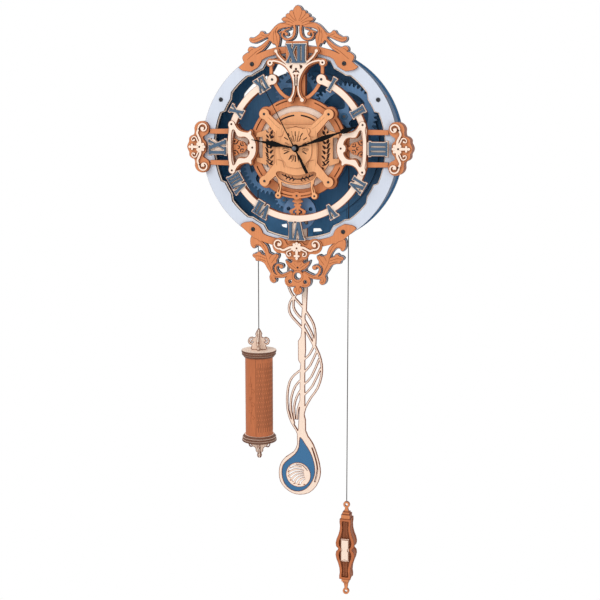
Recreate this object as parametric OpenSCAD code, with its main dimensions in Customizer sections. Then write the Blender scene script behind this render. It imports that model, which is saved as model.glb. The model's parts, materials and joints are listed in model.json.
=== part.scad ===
// Wall clock of laser-cut plywood with an open gear train, a cord-hung weight, a pull handle and a pendulum.
// Millimetres. +Z is up, the clock faces -Y, and the back plate's rear face lies on the wall at Y = 0.
// The origin is the mouth of the hanging hole in the back plate.

/* [Frame] */
// Outer radius of the front ring
ring_r = 125; // [124:0.5:127]
// Narrowest radial width of the front ring
ring_band = 14; // [12:0.5:16]
// Thickness of a frame ply
frame_ply = 3; // [2.8:0.1:3.2]
// Thickness of a dial ply
trim_ply = 2.4; // [2.2:0.1:2.6]
// Distance from the front ring's face to the wall
frame_depth = 48; // [47:0.5:54]
// Radius of the hanging hole
hook_r = 4; // [3:0.5:5]
// Radius of the round plate at the back
back_disc_r = 94; // [90:0.5:96]

/* [Dial] */
// Mean radius of the numeral ring
dial_r = 87; // [86.5:0.1:87.5]
// Radial width of the numeral ring
dial_band = 8; // [7:0.2:8.6]
// Height of the small numerals
numeral_h = 17; // [15:0.5:17.5]
// Height of the numerals at 12, 3, 6 and 9
cardinal_h = 22.4; // [20:0.2:22.6]
// Length of the minute hand
minute_len = 82.5; // [72:0.5:88]
// Length of the hour hand
hour_len = 57; // [48:0.5:62]
// Length of the second hand
second_len = 88; // [76:0.5:92]

/* [Medallion] */
// Inner radius of the medallion's front ring
medallion_in = 51.2; // [50.6:0.1:52]
// Outer radius of the medallion's front ring
medallion_out = 62.2; // [61:0.2:63]
// Side of the quartz movement's case
movement_side = 56; // [54:1:57]
// Depth of the quartz movement's case
movement_depth = 15.6; // [15.2:0.1:16]

/* [Gear train] */
// Module of the wooden teeth
tooth_module = 1.8; // [1.79:0.005:1.81]
// Thickness of a wheel
wheel_ply = 3; // [2.6:0.1:3.2]
// Radius of the steel studs
stud_r = 2; // [1.6:0.1:2.4]
// Radial clearance of a wheel on its stud
stud_gap = 0.06; // [0.02:0.01:0.1]
// Radius at which the cord runs on the pulley
cord_run_r = 59.3; // [58:0.1:59.8]
// Radius of the cord
cord_r = 0.6; // [0.4:0.05:0.7]

/* [Weight] */
// Radius of the weight's tube
tube_r = 17; // [15:0.2:17.4]
// Height of the weight's tube
tube_h = 104; // [90:1:116]
// Radius of the weight's end discs
flange_r = 20.5; // [18.5:0.5:20.5]
// Free length of the weight's cord at rest
weight_hang = 235; // [230:1:250]

/* [Handle] */
// Height of the handle's body
handle_h = 86; // [80:1:92]
// Free length of the handle's cord at rest
handle_hang = 459; // [450:1:475]

/* [Pendulum] */
// Length from the pendulum's pivot to the middle of the bob's shell
pendulum_len = 343; // [335:1:350]
// Radius of the shell ornament on the bob
shell_r = 16.5; // [15:0.5:17.5]

/* [Hidden] */
$fn = 64;

// Depths behind the front ring's face, negative towards the viewer
crest_y = -frame_ply;
backing_y = crest_y - trim_ply;
dial_y = backing_y - trim_ply;
bracket_y = dial_y - trim_ply;
top_y = bracket_y - trim_ply;
core_back_y = 6;
laurel_y = crest_y;
movement_y = laurel_y + trim_ply;
medallion_y = laurel_y + trim_ply;
disc_y = medallion_y + trim_ply;
low_band_y = backing_y - trim_ply;
shield_y = bracket_y - 1.6;
hour_y = top_y - 1.6;
minute_y = hour_y - 1.8;
second_y = minute_y - 1.8;
trim_ring_y = frame_ply;
band_y = 2*frame_ply;
back_plate_y = frame_depth - frame_ply;
back_disc_y = back_plate_y - frame_ply;
hub_y = 7;
rod_y = hub_y + frame_ply;
case_back_y = movement_y + movement_depth;
train_y = case_back_y + 1;
pulley_y = train_y + wheel_ply + 1.6;
flange_w = 1.4;
groove_w = 2.6;
great_y = pulley_y + 2*flange_w + groove_w;
pinion_y = great_y + 0.3;
escape_y = great_y + wheel_ply + 3;
cord_y = pulley_y + flange_w + groove_w/2;

// Sizes that follow the front ring
fit = ring_r/125;
hook_z = ring_r - 9.5;
band_r = ring_r - frame_ply;
step_deep = ring_r - ring_band + 2;
step_mid = ring_r - ring_band - 1;
step_wide = ring_r - ring_band - 5;
twelve_r = dial_r + 27;
cardinal_r = dial_r + 15.4;
hour_r = 88.8;
plate_edge = 1.4;

// Teeth and leaves
great_teeth = 66;
second_teeth = 44;
third_teeth = 30;
lower_teeth = 40;
second_leaves = 8;
escape_leaves = 12;
escape_r = 15;
backlash = 0.34;

function mid_distance(a, b) = tooth_module*(a + b)/2;
function along(a, d) = [d*cos(a), d*sin(a)];
second_dir = 35;
third_dir = 154.3;
escape_dir = 251.2;
lower_dir = 110.6;
centre_at = [0, 0];
second_at = along(second_dir, mid_distance(great_teeth, second_leaves));
third_at = second_at + along(third_dir, mid_distance(second_teeth, third_teeth));
escape_at = along(escape_dir, mid_distance(great_teeth, escape_leaves));
lower_at = escape_at + along(lower_dir, mid_distance(escape_leaves, lower_teeth));
pendulum_at = [0, -81];

// Angle of a driven wheel whose gap meets the driver's tooth on the line of centres
function in_mesh(dir, turn, driver, driven) = dir + 180 + 180/driven + (dir - turn)*driver/driven;
second_turn = in_mesh(second_dir, 0, great_teeth, second_leaves);
third_turn = in_mesh(third_dir, second_turn, second_teeth, third_teeth);
escape_turn = in_mesh(escape_dir, 0, great_teeth, escape_leaves);
lower_turn = in_mesh(lower_dir, escape_turn, escape_leaves, lower_teeth);

// Points of an arc about a centre
function arc(c, r, a0, a1, n) =
    [for (i = [0:n]) let (a = a0 + (a1 - a0)*i/n) [c[0] + r*cos(a), c[1] + r*sin(a)]];

// A spiral whose radius runs evenly from r0 to r1
function spiral(c, r0, r1, a0, a1, n) =
    [for (i = [0:n]) let (a = a0 + (a1 - a0)*i/n, r = r0 + (r1 - r0)*i/n)
        [c[0] + r*cos(a), c[1] + r*sin(a)]];

// A smooth curve through chosen points
function between(p0, p1, p2, p3, t) =
    0.5*(2*p1 + (p2 - p0)*t + (2*p0 - 5*p1 + 4*p2 - p3)*t*t + (3*p1 - p0 - 3*p2 + p3)*t*t*t);
function loop(p, k = 3) = let (n = len(p))
    [for (i = [0:n - 1]) for (j = [0:k - 1])
        between(p[(i + n - 1)%n], p[i], p[(i + 1)%n], p[(i + 2)%n], j/k)];
function line(p, k = 3) = let (n = len(p))
    concat([for (i = [0:n - 2]) for (j = [0:k - 1])
        between(p[max(i - 1, 0)], p[i], p[i + 1], p[min(i + 2, n - 1)], j/k)], [p[n - 1]]);
function mirrored(p) = concat(p, [for (i = [len(p) - 1:-1:0]) if (abs(p[i][0]) > 0.01) [-p[i][0], p[i][1]]]);

// The outline of a ribbon whose width runs from w0 to w1 along a centre line
function unit(v) = v/norm(v);
function heading(p, i) = unit(p[min(i + 1, len(p) - 1)] - p[max(i - 1, 0)]);
function side(p, i, d) = let (h = heading(p, i)) p[i] + d*[-h[1], h[0]];
function width_at(w0, w1, i, n) = (w0 + (w1 - w0)*i/(n - 1))/2;
function ribbon(p, w0, w1) = let (n = len(p))
    concat([for (i = [0:n - 1]) side(p, i, width_at(w0, w1, i, n))],
        [for (i = [n - 1:-1:0]) side(p, i, -width_at(w0, w1, i, n))]);

// Teeth of involute form, with the flank radial below the base circle
function involute(a) = tan(a) - a*PI/180;
function flank(r, n) = let (rp = tooth_module*n/2, rb = rp*cos(20), a = acos(min(1, rb/max(r, rb))))
    ((PI*tooth_module/2 - backlash)/(2*rp) + involute(20) - involute(a))*180/PI;
function polar(r, a) = [r*cos(a), r*sin(a)];
function tooth(c, n, radii) = concat([for (r = radii) polar(r, c - flank(r, n))],
    [for (i = [len(radii) - 1:-1:0]) polar(radii[i], c + flank(radii[i], n))]);
function teeth(n) = let (rp = tooth_module*n/2, low = rp - 1.2*tooth_module, tip = rp + 0.9*tooth_module)
    [for (i = [0:n - 1]) each tooth(360*i/n, n, [low, rp - 0.4*tooth_module, rp + 0.4*tooth_module, tip])];

// Outlines run the same way round whichever way their points were chosen
function total(v) = v*[for (i = v) 1];
function twice_area(p) = total([for (i = [0:len(p) - 1]) cross(p[i], p[(i + 1)%len(p)])]);
module poly(p) polygon(twice_area(p) < 0 ? [for (i = [len(p) - 1:-1:0]) p[i]] : p);

// Places and plies
module in_place() translate([0, -frame_depth, -hook_z]) children();
module ply(y, t) in_place() translate([0, y + t, 0]) rotate([90, 0, 0]) linear_extrude(t) children();
module both() { children(); mirror([1, 0]) children(); }
module turned(at, a = 0) translate(at) rotate(a) children();
module disc(r, at = [0, 0]) translate(at) circle(r);
module annulus(r_out, r_in) difference() { circle(r_out); circle(r_in); }
module stroke(p, w0, w1) poly(ribbon(p, w0, w1));
module box2(x0, z0, x1, z1) translate([x0, z0]) square([x1 - x0, z1 - z0]);
module sector(r0, r1, a0, a1) poly(concat(arc([0, 0], r1, a0, a1, 12), arc([0, 0], r0, a1, a0, 12)));
module rod(at, y0, y1, r_out, r_in = 0) in_place() translate([at[0], y1, at[1]]) rotate([90, 0, 0])
    difference() {
        cylinder(r = r_out, h = y1 - y0);
        if (r_in > 0) translate([0, 0, -1]) cylinder(r = r_in, h = y1 - y0 + 2);
    }
module orange() color([0.84, 0.52, 0.33]) children();
module pale() color([0.95, 0.86, 0.78]) children();
module blue() color([0.17, 0.33, 0.47]) children();

// The stepped opening of the front ring
quarter = [[0, step_mid], [23, step_mid], [25, step_wide], [34, step_wide], [38, step_mid], [53, step_mid],
    [56, step_wide + 1], [65, step_wide + 1], [69, step_deep], [90, step_deep]];
function run(a, b, k, grow) = [for (j = [0:k - 1]) let (t = j/k)
    polar(a[1] + (b[1] - a[1])*t + grow, a[0] + (b[0] - a[0])*t)];
function quarter_points(grow) = [for (i = [0:len(quarter) - 2]) let (a = quarter[i], b = quarter[i + 1])
    each run(a, b, a[1] == b[1] ? 5 : 1, grow)];
function upper_points(grow) = let (q = quarter_points(grow), n = len(q))
    concat(q, [polar(step_deep + grow, 90)], [for (i = [n - 1:-1:0]) [-q[i][0], q[i][1]]]);
function opening_points(grow) = let (u = upper_points(grow), n = len(u))
    concat(u, [for (i = [n - 2:-1:1]) [u[i][0], -u[i][1]]]);
module ring_opening(grow = 0) poly(opening_points(grow));

ring_screws = [[100, 58.6], [-100, 58.6]];
plate_screws = [[58.2, 101.8], [-58.2, 101.8], [58.2, -102.5], [-58.2, -102.5]];
screw_r = 1.1;
module screw_holes(places) for (p = places) disc(screw_r, p*fit);

module front_ring() color([0.80, 0.83, 0.88]) ply(0, frame_ply) difference() {
    circle(ring_r);
    ring_opening();
    screw_holes(ring_screws);
    screw_holes(plate_screws);
}

module trim_ring() pale() ply(trim_ring_y, frame_ply) difference() {
    circle(ring_r - 0.4);
    ring_opening(-1.6);
}

// The bent side band is open at the bottom, where the cords and the pendulum hang out
band_from = -52;
band_to = 232;
band_h = back_plate_y - band_y;
module side_band() blue() in_place() translate([0, back_plate_y, 0]) rotate([90, 0, 0])
    rotate([0, 0, band_from]) rotate_extrude(angle = band_to - band_from)
        translate([band_r - frame_ply, 0]) square([frame_ply, band_h]);

// Back plate with the openings that show the wall
gaps = [[101, 117], [121, 152], [156, 178], [182, 204], [211, 229], [248, 258], [272, 283]];
stud_places = [centre_at, second_at, third_at, escape_at, pendulum_at];
module back_plate() blue() ply(back_plate_y, frame_ply) difference() {
    circle(ring_r - 1);
    for (g = gaps) intersection() {
        sector(back_disc_r + 1.5, ring_r, g[0], g[1]);
        ring_opening(-3.4);
    }
    disc(hook_r, [0, hook_z]);
    for (p = stud_places) disc(stud_r, p);
}

module back_disc() blue() ply(back_disc_y, frame_ply) difference() {
    circle(back_disc_r);
    for (p = stud_places) disc(stud_r, p);
}

// Crest: a palmette over an arch, a leafy branch to each side and a band on the ring
fan = [[0, 171.4], [2.4, 170.6], [4.8, 167.8], [5.7, 165.2], [8, 165.6], [10.1, 164.4], [10.4, 161.8],
    [12.9, 161.9], [14.9, 160.2], [14.6, 157.7], [17.6, 157.5], [20.2, 155.4], [18.6, 153.2], [13.4, 150.9],
    [7, 148.6], [0, 147.6]];
branch = [[6, 150.6], [13.5, 151.3], [21.9, 150.7], [27.8, 147.5], [32, 143.2], [36.8, 138.4], [41.3, 138],
    [43.9, 140.8], [47, 140.8], [48.6, 137.9], [53.4, 134.6], [57, 133], [59.9, 133.8], [61.5, 132.2],
    [60.8, 129.6], [58.2, 127.8], [54, 127.5], [48.1, 129.6], [42.2, 132.4], [38.5, 134], [36.8, 133],
    [38, 131], [41, 128.4], [46.9, 123.9], [54.1, 121], [57.3, 122.2], [60.5, 122.5], [62.8, 120.8],
    [63.4, 117.8], [61.6, 116.2], [64.5, 115.5], [67.4, 113.6], [69.8, 111.6], [70.5, 109], [69.4, 106],
    [67.2, 103.6], [63, 104.2], [58.5, 108.8], [51.7, 113.9], [43.4, 119.2], [37.6, 125.6], [35.4, 129.4],
    [33.2, 128.6], [31.4, 125.9], [28.8, 126], [26.4, 121.4], [24.6, 121.8], [23.1, 127.3], [22.4, 132],
    [23, 136.6], [25.9, 140], [23.1, 143.2], [17.1, 145.1], [12.1, 145.4], [7, 146.4]];
band = [[0, 122.6], [16.4, 122.5], [27.8, 121.8], [38.3, 119], [48.8, 115.2], [59.7, 109.7], [66, 106],
    [70.6, 101.9], [75.6, 97.8], [72.4, 95], [69.2, 93.7], [59.8, 92.6], [55, 95.2], [50.6, 97.7],
    [47.8, 101.4], [45.3, 106.6], [40.1, 109.6], [29.6, 112.6], [16.4, 114.4], [0, 115.2]];
inner_scroll = line([[4.6, 149], [3.7, 143.6], [4.2, 137.9], [6.5, 133.4], [11.7, 131], [17.1, 132.3],
    [19.7, 136], [18, 139.6], [14.6, 139.4]]);
module crest_2d() {
    poly(mirrored(fan));
    both() {
        poly(loop(branch, 2));
        stroke(inner_scroll, 3.4, 2);
        disc(2, [14.2, 137.6]);
        stroke(line([[9.5, 144.2], [13.6, 142.9], [18, 141], [23.4, 139.2]]), 1.8, 1.6);
    }
}
module crest_front() orange() ply(crest_y, frame_ply) scale(fit) difference() {
    union() {
        crest_2d();
        poly(mirrored(band));
    }
    screw_holes(plate_screws);
}
edge_margin = 0.9;
module crest_back() color([0.77, 0.80, 0.86]) ply(0, 2*frame_ply) scale(fit) difference() {
    offset(edge_margin, $fn = 12) crest_2d();
    circle(125.2);
}

// Drop: scrolling leaves below the ring, a pierced oval and a hanging bud
low_band = [[0, -114.6], [16.4, -114.2], [29.6, -112.8], [40.1, -110], [45.3, -107.2], [47.6, -101.6],
    [50.6, -98], [59.8, -92.8], [69.2, -94], [72.6, -95.4], [75, -98.2], [69, -103.6], [61, -110.6],
    [54.9, -114.6], [42.7, -118.9], [33, -121.6], [16, -122.6], [0, -123]];
low_leaf = [[50, -115.6], [56, -112.8], [60.6, -112], [62, -117.6], [60.9, -123.6], [58, -126.6],
    [55.6, -125.6], [53.8, -122.9], [49.8, -123.5], [46.2, -126.9], [43, -132], [41.8, -135.4],
    [44.4, -134.6], [47.4, -133.6],
    [48.6, -131.2], [51.8, -130.9], [53.4, -133], [56.6, -133.4], [59.3, -135.6], [57.6, -138.2],
    [55.5, -139.2], [54.8, -142.2], [48.7, -142.7], [43.4, -145.6], [39.9, -151.5], [35.6, -158.2],
    [36.9, -162.4], [35.6, -167.6], [32.2, -169.9], [29, -168.8], [28.2, -165.8], [30.4, -163.4],
    [27.2, -163.3],
    [19.3, -162.7], [13.3, -160.4], [7.4, -155.9], [8.6, -153.4], [15.3, -156.5], [21.6, -158.8],
    [26.6, -159.4], [30.2, -157.6], [32.4, -153.6], [32.6, -149.4], [30.6, -145.8], [27.4, -144.2],
    [27.3, -140.4], [25.4, -137.6], [24.9, -134.2], [28.6, -132.8], [31.6, -134.2], [35, -133],
    [37.6, -131.6], [38.5, -127.4], [41.6, -121.6]];
hook = line([[22, -160.6], [26.6, -157], [28.6, -153], [28.8, -149.6], [26.4, -146.8], [22.8, -146.9]]);
bud = [[0, -183.8], [3.4, -182.6], [5.6, -179.6], [5.2, -176], [2.6, -172.8], [6.4, -173.8],
    [11.6, -174], [15.4, -171.4], [16.9, -167], [15.8, -162.6], [12.4, -159.6], [7, -155.6], [4.4, -153],
    [8.6, -151.6], [13.4, -147], [15.9, -140.6], [11.9, -142.2], [8.2, -143.8], [5, -139.2], [0, -139.2]];
module drop_2d() {
    difference() {
        poly(loop(mirrored(bud), 2));
        disc(4.6, [0, -160.2]);
        both() disc(2.4, [9.8, -167.2]);
        disc(screw_r, [0, -149.3]);
    }
    both() {
        poly(loop(low_leaf, 2));
        stroke(hook, 3.4, 2.6);
        disc(2.7, [21.6, -148.6]);
    }
}
module drop_front() orange() ply(crest_y, frame_ply) scale(fit) difference() {
    union() {
        drop_2d();
        poly(mirrored(low_band));
        poly(mirrored([[0, -120], [9, -120], [7.6, -141], [0, -141]]));
    }
    screw_holes(plate_screws);
}
module drop_back() color([0.77, 0.80, 0.86]) ply(0, 2*frame_ply) scale(fit) difference() {
    offset(edge_margin, $fn = 12) {
        drop_2d();
        poly(mirrored([[0, -120], [9, -120], [7.6, -141], [0, -141]]));
    }
    circle(125.2);
}

// Roman numerals, one letter high
marks = ["XII", "I", "II", "III", "IV", "V", "VI", "VII", "VIII", "IX", "X", "XI"];
letter_i = [[0, 0], [0.26, 0], [0.26, 0.07], [0.21, 0.1], [0.21, 0.9], [0.26, 0.93], [0.26, 1], [0, 1],
    [0, 0.93], [0.05, 0.9], [0.05, 0.1], [0, 0.07]];
letter_v = [[0, 1], [0.31, 1], [0.31, 0.93], [0.26, 0.91], [0.385, 0.32], [0.5, 0.91], [0.45, 0.93],
    [0.45, 1], [0.66, 1], [0.66, 0.93], [0.6, 0.91], [0.41, 0], [0.27, 0], [0.06, 0.91], [0, 0.93]];
letter_x = [[0, 1], [0.28, 1], [0.28, 0.93], [0.24, 0.92], [0.345, 0.66], [0.45, 0.92], [0.41, 0.93],
    [0.41, 1], [0.6, 1], [0.6, 0.93], [0.54, 0.92], [0.375, 0.57], [0.55, 0.08], [0.6, 0.07], [0.6, 0],
    [0.32, 0], [0.32, 0.07], [0.36, 0.08], [0.26, 0.36], [0.14, 0.08], [0.19, 0.07], [0.19, 0], [0, 0],
    [0, 0.07], [0.05, 0.08], [0.22, 0.46], [0.05, 0.92], [0, 0.93]];
function letter(c) = c == "I" ? letter_i : c == "V" ? letter_v : letter_x;
function wide(c) = c == "I" ? 0.25 : c == "V" ? 0.65 : 0.59;
function start(s, i) = i == 0 ? 0 : start(s, i - 1) + wide(s[i - 1]);
module mark_2d(k) {
    s = marks[k];
    cardinal = k%3 == 0;
    h = cardinal ? cardinal_h : numeral_h;
    r = k == 0 ? twelve_r : cardinal ? cardinal_r : hour_r;
    w = start(s, len(s));
    rotate(-30*k) translate([-w*h/2, r - h/2])
        for (i = [0:len(s) - 1]) poly([for (p = letter(s[i])) h*[p[0] + start(s, i), p[1]]]);
}
module plate_2d(k) offset(delta = plate_edge) mark_2d(k);
module numerals() color([0.30, 0.39, 0.47]) {
    ply(top_y, trim_ply) mark_2d(0);
    ply(bracket_y, trim_ply) for (k = [1:11]) mark_2d(k);
}

boss_at = [31, 83];
bar_x = 88.3;
module dial_band_2d(grow = 0) {
    difference() {
        annulus(dial_r + dial_band/2 + grow, dial_r - dial_band/2 - grow);
        poly([[0, 0], [150*cos(70), 150*sin(70)], [-150*cos(70), 150*sin(70)]]);
        for (s = [-1, 1]) translate([s*(bar_x + 6), 0]) square([12, 45], center = true);
    }
    bosses(6.3 + grow);
}
module bosses(r) for (s = [-1, 1]) disc(r, [s*boss_at[0], boss_at[1]]);
module numeral_ring() pale() ply(dial_y, trim_ply) difference() {
    union() {
        dial_band_2d();
        for (k = [1:11]) plate_2d(k);
        for (s = [-1, 1]) translate([s*87, 0]) square([8, 16], center = true);
        box2(-8, -91, 8, -87);
    }
    bosses(1);
}

strap_low = 16.4;
strap_high = 23;
module numeral_backing() orange() {
    ply(backing_y, trim_ply) {
        difference() {
            union() {
                dial_band_2d(0.4);
                both() stroke(line([[28.4, 78.4], [22.9, 69.8], [15.5, 62.8], [8.4, 60]]), 4.4, 3.8);
            }
            bracket_arms(3.6);
            bosses(1);
        }
    }
    ply(crest_y, frame_ply + 2) difference() {
        dial_band_2d(0);
        both() {
            box2(80, strap_low - 0.3, 100, strap_high + 0.3);
            box2(80, -strap_high - 0.3, 100, -strap_low + 0.3);
        }
        bosses(1);
        box2(-12, -95, 12, -78);
    }
}

module side_straps() orange() ply(crest_y, frame_ply) both() {
    poly([[84.6, strap_low], [113.8*fit, strap_low], [113.8*fit, strap_high - 0.6], [84.6, strap_high]]);
    poly([[84.6, -strap_low], [113.8*fit, -strap_low], [113.8*fit, -strap_high + 0.6], [84.6, -strap_high]]);
}

// Bracket under the 12: horns, long arms with eyes and a pierced middle
long_arm = line([[31, 104.6], [27.8, 105.4], [19.6, 103.4], [12.4, 98.8], [7.1, 91.5], [3.6, 83.3],
    [2.4, 75.2],
    [3.6, 65.8], [7.5, 58.6]]);
horn = line([[25, 116.4], [22.3, 111.3], [16.4, 105.5], [11, 101], [8, 96]]);
middle = [[0, 103], [12.4, 102.6], [10.4, 98], [7.4, 93.8], [4.4, 87], [2.6, 80], [1.6, 76.4], [0, 75]];
module bracket_arms(grow) {
    both() {
        stroke(long_arm, 2.6 + grow, 2.4 + grow);
        stroke(horn, 2.4 + grow, 3 + grow);
        disc(3.7 + grow/2, [33, 103]);
        disc(2.3 + grow/2, [25.4, 117]);
        disc(2.6 + grow/2, [7.6, 58.2]);
    }
}
module twelve_bracket() pale() ply(bracket_y, trim_ply) difference() {
    union() {
        bracket_arms(0);
        poly(mirrored(middle));
        plate_2d(0);
        box2(4, twelve_r - 12.5, 13.1, twelve_r + 12.7);
    }
    both() {
        disc(1, [33, 103]);
        disc(1.5, [6.4, 98.2]);
        poly([[1, 88.4], [3.2, 88.9], [1, 84]]);
        poly([[0.8, 82.4], [1.9, 82.4], [1.1, 78], [0.8, 78]]);
    }
    turned([0, 92.8], 45) square(1.9, center = true);
}
module twelve_bracket_core() orange() {
    ply(dial_y, crest_y - dial_y) difference() {
        union() {
            bracket_arms(3);
            poly(mirrored(middle));
            box2(-13.4, twelve_r - 12.6, 14, twelve_r + 14.8);
            both() box2(30.4, 89.4, 34.2, 103);
        }
        both() disc(6.8, boss_at);
    }
    ply(crest_y, medallion_y - crest_y) rear_core_2d();
    ply(medallion_y, core_back_y - medallion_y) difference() {
        rear_core_2d();
        disc(ring_back_r + 0.2);
    }
}
module rear_core_2d() difference() {
    union() {
        both() stroke(long_arm, 5.6, 5.4);
        both() disc(3.4, [7.6, 58.2]);
        poly(mirrored(middle));
        box2(4.8, 62, 9.8, 97);
    }
    box2(-60, min(103.6, step_deep - 5), 60, 160);
    both() disc(7, boss_at);
}

// Side brackets: a bar on the numeral ring and a C-shaped frame around a scrolled panel
bracket_edge = [[88.4, 0], [88.2, 8], [87.6, 16], [86.4, 23], [87.6, 27], [86.6, 31], [83.2, 33],
    [79.8, 31.4],
    [78.2, 28], [76.6, 25], [73.6, 21.8], [70, 20], [65.6, 19], [61.6, 18.8], [58.8, 21], [57, 19.4],
    [57.4, 16.2], [54.6, 12.6], [52.4, 8], [51.4, 3.6], [51.4, 0]];
bracket_window = [[83.6, 0], [83.6, 10], [83, 18], [81.6, 21.8], [79.4, 21.2], [77.4, 17.2], [75, 13.6],
    [71, 12.8], [66.6, 13.2], [62.8, 11.4], [60.4, 7.8], [59.8, 4.8], [62, 3.4], [62.8, 0]];
function folded(p) = concat(p, [for (i = [len(p) - 1:-1:0]) if (p[i][1] > 0.01) [p[i][0], -p[i][1]]]);
module bracket_window_2d() poly(loop(folded(bracket_window), 2));
module side_brackets() pale() ply(bracket_y, trim_ply) both() difference() {
    poly(loop(folded(bracket_edge), 2));
    bracket_window_2d();
    disc(1, [83.2, 28.6]);
    disc(1, [83.2, -28.6]);
    disc(1, [56.2, 0]);
}
module side_bracket_cores() orange() {
    ply(dial_y, medallion_y - dial_y) both() side_core_2d();
    ply(medallion_y, core_back_y - medallion_y) both() difference() {
        side_core_2d();
        disc(ring_back_r + 0.2);
    }
}
module side_core_2d() difference() {
    offset(delta = 1.2) poly(loop(folded(bracket_edge), 2));
    offset(delta = -0.9) bracket_window_2d();
    difference() {
        circle(r = 120);
        circle(r = dial_r - dial_band/2 - 0.5);
    }
}
module side_panels() orange() ply(core_back_y, trim_ply) both() difference() {
    offset(delta = 1) bracket_window_2d();
    difference() {
        circle(r = 120);
        circle(r = dial_r - dial_band/2 - 0.5);
    }
    for (s = [-1, 1]) {
        stroke(spiral([77.6, 6.4*s], 3.6, 1.2, 90*s, -330*s, 14), 1.5, 0.9);
        stroke(spiral([68.4, 5*s], 2.4, 0.9, 200*s, -120*s, 12), 1.3, 0.8);
        poly([[71.6, 0.7*s], [74.4, 3.2*s], [72.6, 4.6*s]]);
        poly([[64, 1.6*s], [66.6, 1.2*s], [65.4, 3.2*s]]);
        poly([[79, 12.6*s], [82, 12*s], [81.4, 17.6*s]]);
        poly([[66, 9.4*s], [72, 8.4*s], [70, 11*s]]);
    }
}
module side_panel_backs() pale() ply(core_back_y + trim_ply, trim_ply) both() intersection() {
    poly([[61, -14], [80, -24], [83.5, -22], [84, 0], [83.5, 22], [80, 24], [61, 14]]);
    circle(dial_r - dial_band/2 - 0.5);
}

// Edge scrolls at 3, 9 and 6: volutes around a small flower
volute = spiral([121.4, 23.6], 6.6, 2, -20, 400, 26);
module edge_scroll_2d() difference() {
    union() {
        disc(3.7, [125.4, 0]);
        for (a = [0:45:315]) disc(2, [125.4 + 5*cos(a), 5*sin(a)]);
        stroke([[130, 0], [139, 0]], 4.2, 3);
        disc(2.1, [139.4, 0]);
        disc(1.7, [136.4, 2.6]);
        disc(1.7, [136.4, -2.6]);
        for (s = [1, -1]) mirror([0, s < 0 ? 1 : 0]) {
            stroke(volute, 2.7, 2.1);
            disc(2, [121.7, 23.2]);
            stroke(line([[127.5, 21.8], [129.4, 17.6], [127.6, 13], [125.6, 8.6], [125.4, 3]]), 3, 3.6);
            stroke(line([[127, 4], [129.4, 8.6], [131.2, 12.2], [134, 12.8], [136.6, 10.6], [135.8, 7.6],
                [133.2, 8.2]]), 2.4, 1.7);
            disc(1.5, [133.4, 8.6]);
        }
    }
    disc(0.9, [126.6, 0]);
}
scroll_edge = [[114.7, 0], [114.5, 12], [114.4, 22], [115.4, 27.4], [118.6, 31], [123, 32.2], [127.6, 31.4],
    [131.6, 28.4], [133.6, 24], [133.4, 19.6], [134.4, 15.6], [138, 14], [140.8, 10.8], [141, 6.6],
    [142.6, 3.6], [143.6, 0]];
module scroll_core_2d() poly(loop(folded(scroll_edge), 2));
module edge_places() scale(fit) {
    both() children();
    translate([0, 2.2]) rotate(-90) children();
}
module edge_scrolls() pale() ply(dial_y, trim_ply) edge_places() edge_scroll_2d();
module edge_scroll_cores() orange() {
    ply(backing_y, trim_ply) edge_places() scroll_core_2d();
    ply(crest_y, frame_ply) scale(fit) both() scroll_core_2d();
    ply(0, 13) scale(fit) both() difference() {
        scroll_core_2d();
        circle(125.3);
    }
}

module bottom_floral() orange() ply(laurel_y, trim_ply) {
    difference() {
        disc(5.4, [0, -61]);
        disc(4.5, middle_lobe_at);
    }
    box2(-1.6, -85.5, 1.6, -64);
    disc(2.6, [0, -72.8]);
    both() {
        disc(2.3, [2.4, -66.4]);
        disc(1.5, [5.2, -66]);
        disc(1.7, [3.2, -70.6]);
        stroke([[0.4, -71], [3.4, -75.4], [7.4, -77.2]], 3, 2.6);
        disc(2.5, [8.2, -79]);
        disc(1.6, [7.4, -82]);
        disc(1.4, [4.6, -82.4]);
        disc(1.3, [2.4, -79]);
    }
}

// Medallion: rear ring, pale disc, front ring with lobes, laurel plate, badge and shield
lobe_at = [40.8, 41.2];
low_lobe_at = [23.2, -58.6];
middle_lobe_at = [0, -58.8];
ring_back_r = medallion_out + 0.2;
seat_r = medallion_in + 1.8;
module at_lobes() both() for (s = [-1, 1]) translate([lobe_at[0], s*lobe_at[1]]) children();
module at_low_lobes() both() translate(low_lobe_at) children();
module medallion_disc() pale() ply(disc_y, trim_ply) difference() {
    circle(seat_r);
    circle(42.5);
    disc(stud_r, lower_at);
}
module medallion_ring() orange() ply(disc_y, core_back_y - disc_y) difference() {
    union() {
        circle(ring_back_r);
        at_lobes() circle(9.4);
    }
    circle(seat_r + 0.05);
}
module slots(r, spans) for (a = spans) sector(r - 0.45, r + 0.45, a[0], a[1]);
module medallion_frame() color([0.87, 0.58, 0.39]) {
    ply(medallion_y, trim_ply) difference() {
        union() {
            circle(medallion_out);
            at_lobes() circle(9.2);
        }
        circle(medallion_in);
        slots(medallion_out - 4.2, [[22, 37], [143, 158], [204, 217], [323, 336]]);
        slots(medallion_out - 3.6, [[52, 69], [103, 119]]);
        at_lobes() circle(1);
        at_low_lobes() circle(0.9);
    }
    ply(dial_y, medallion_y - dial_y) at_lobes() annulus(5.8, 1);
    ply(low_band_y, trim_ply) difference() {
        union() {
            low_spacers(4.6, 5.2);
            intersection() {
                annulus(medallion_out, medallion_in + 4);
                box2(-low_lobe_at[0], -70, low_lobe_at[0], -50);
            }
        }
        slots(59.2, [[250, 264.6], [275.4, 290]]);
        at_low_lobes() circle(0.9);
        disc(0.9, middle_lobe_at);
    }
    ply(low_band_y + trim_ply, medallion_y - low_band_y - trim_ply) difference() {
        low_spacers(3.6, 4.2);
        at_low_lobes() circle(0.9);
    }
}
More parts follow.
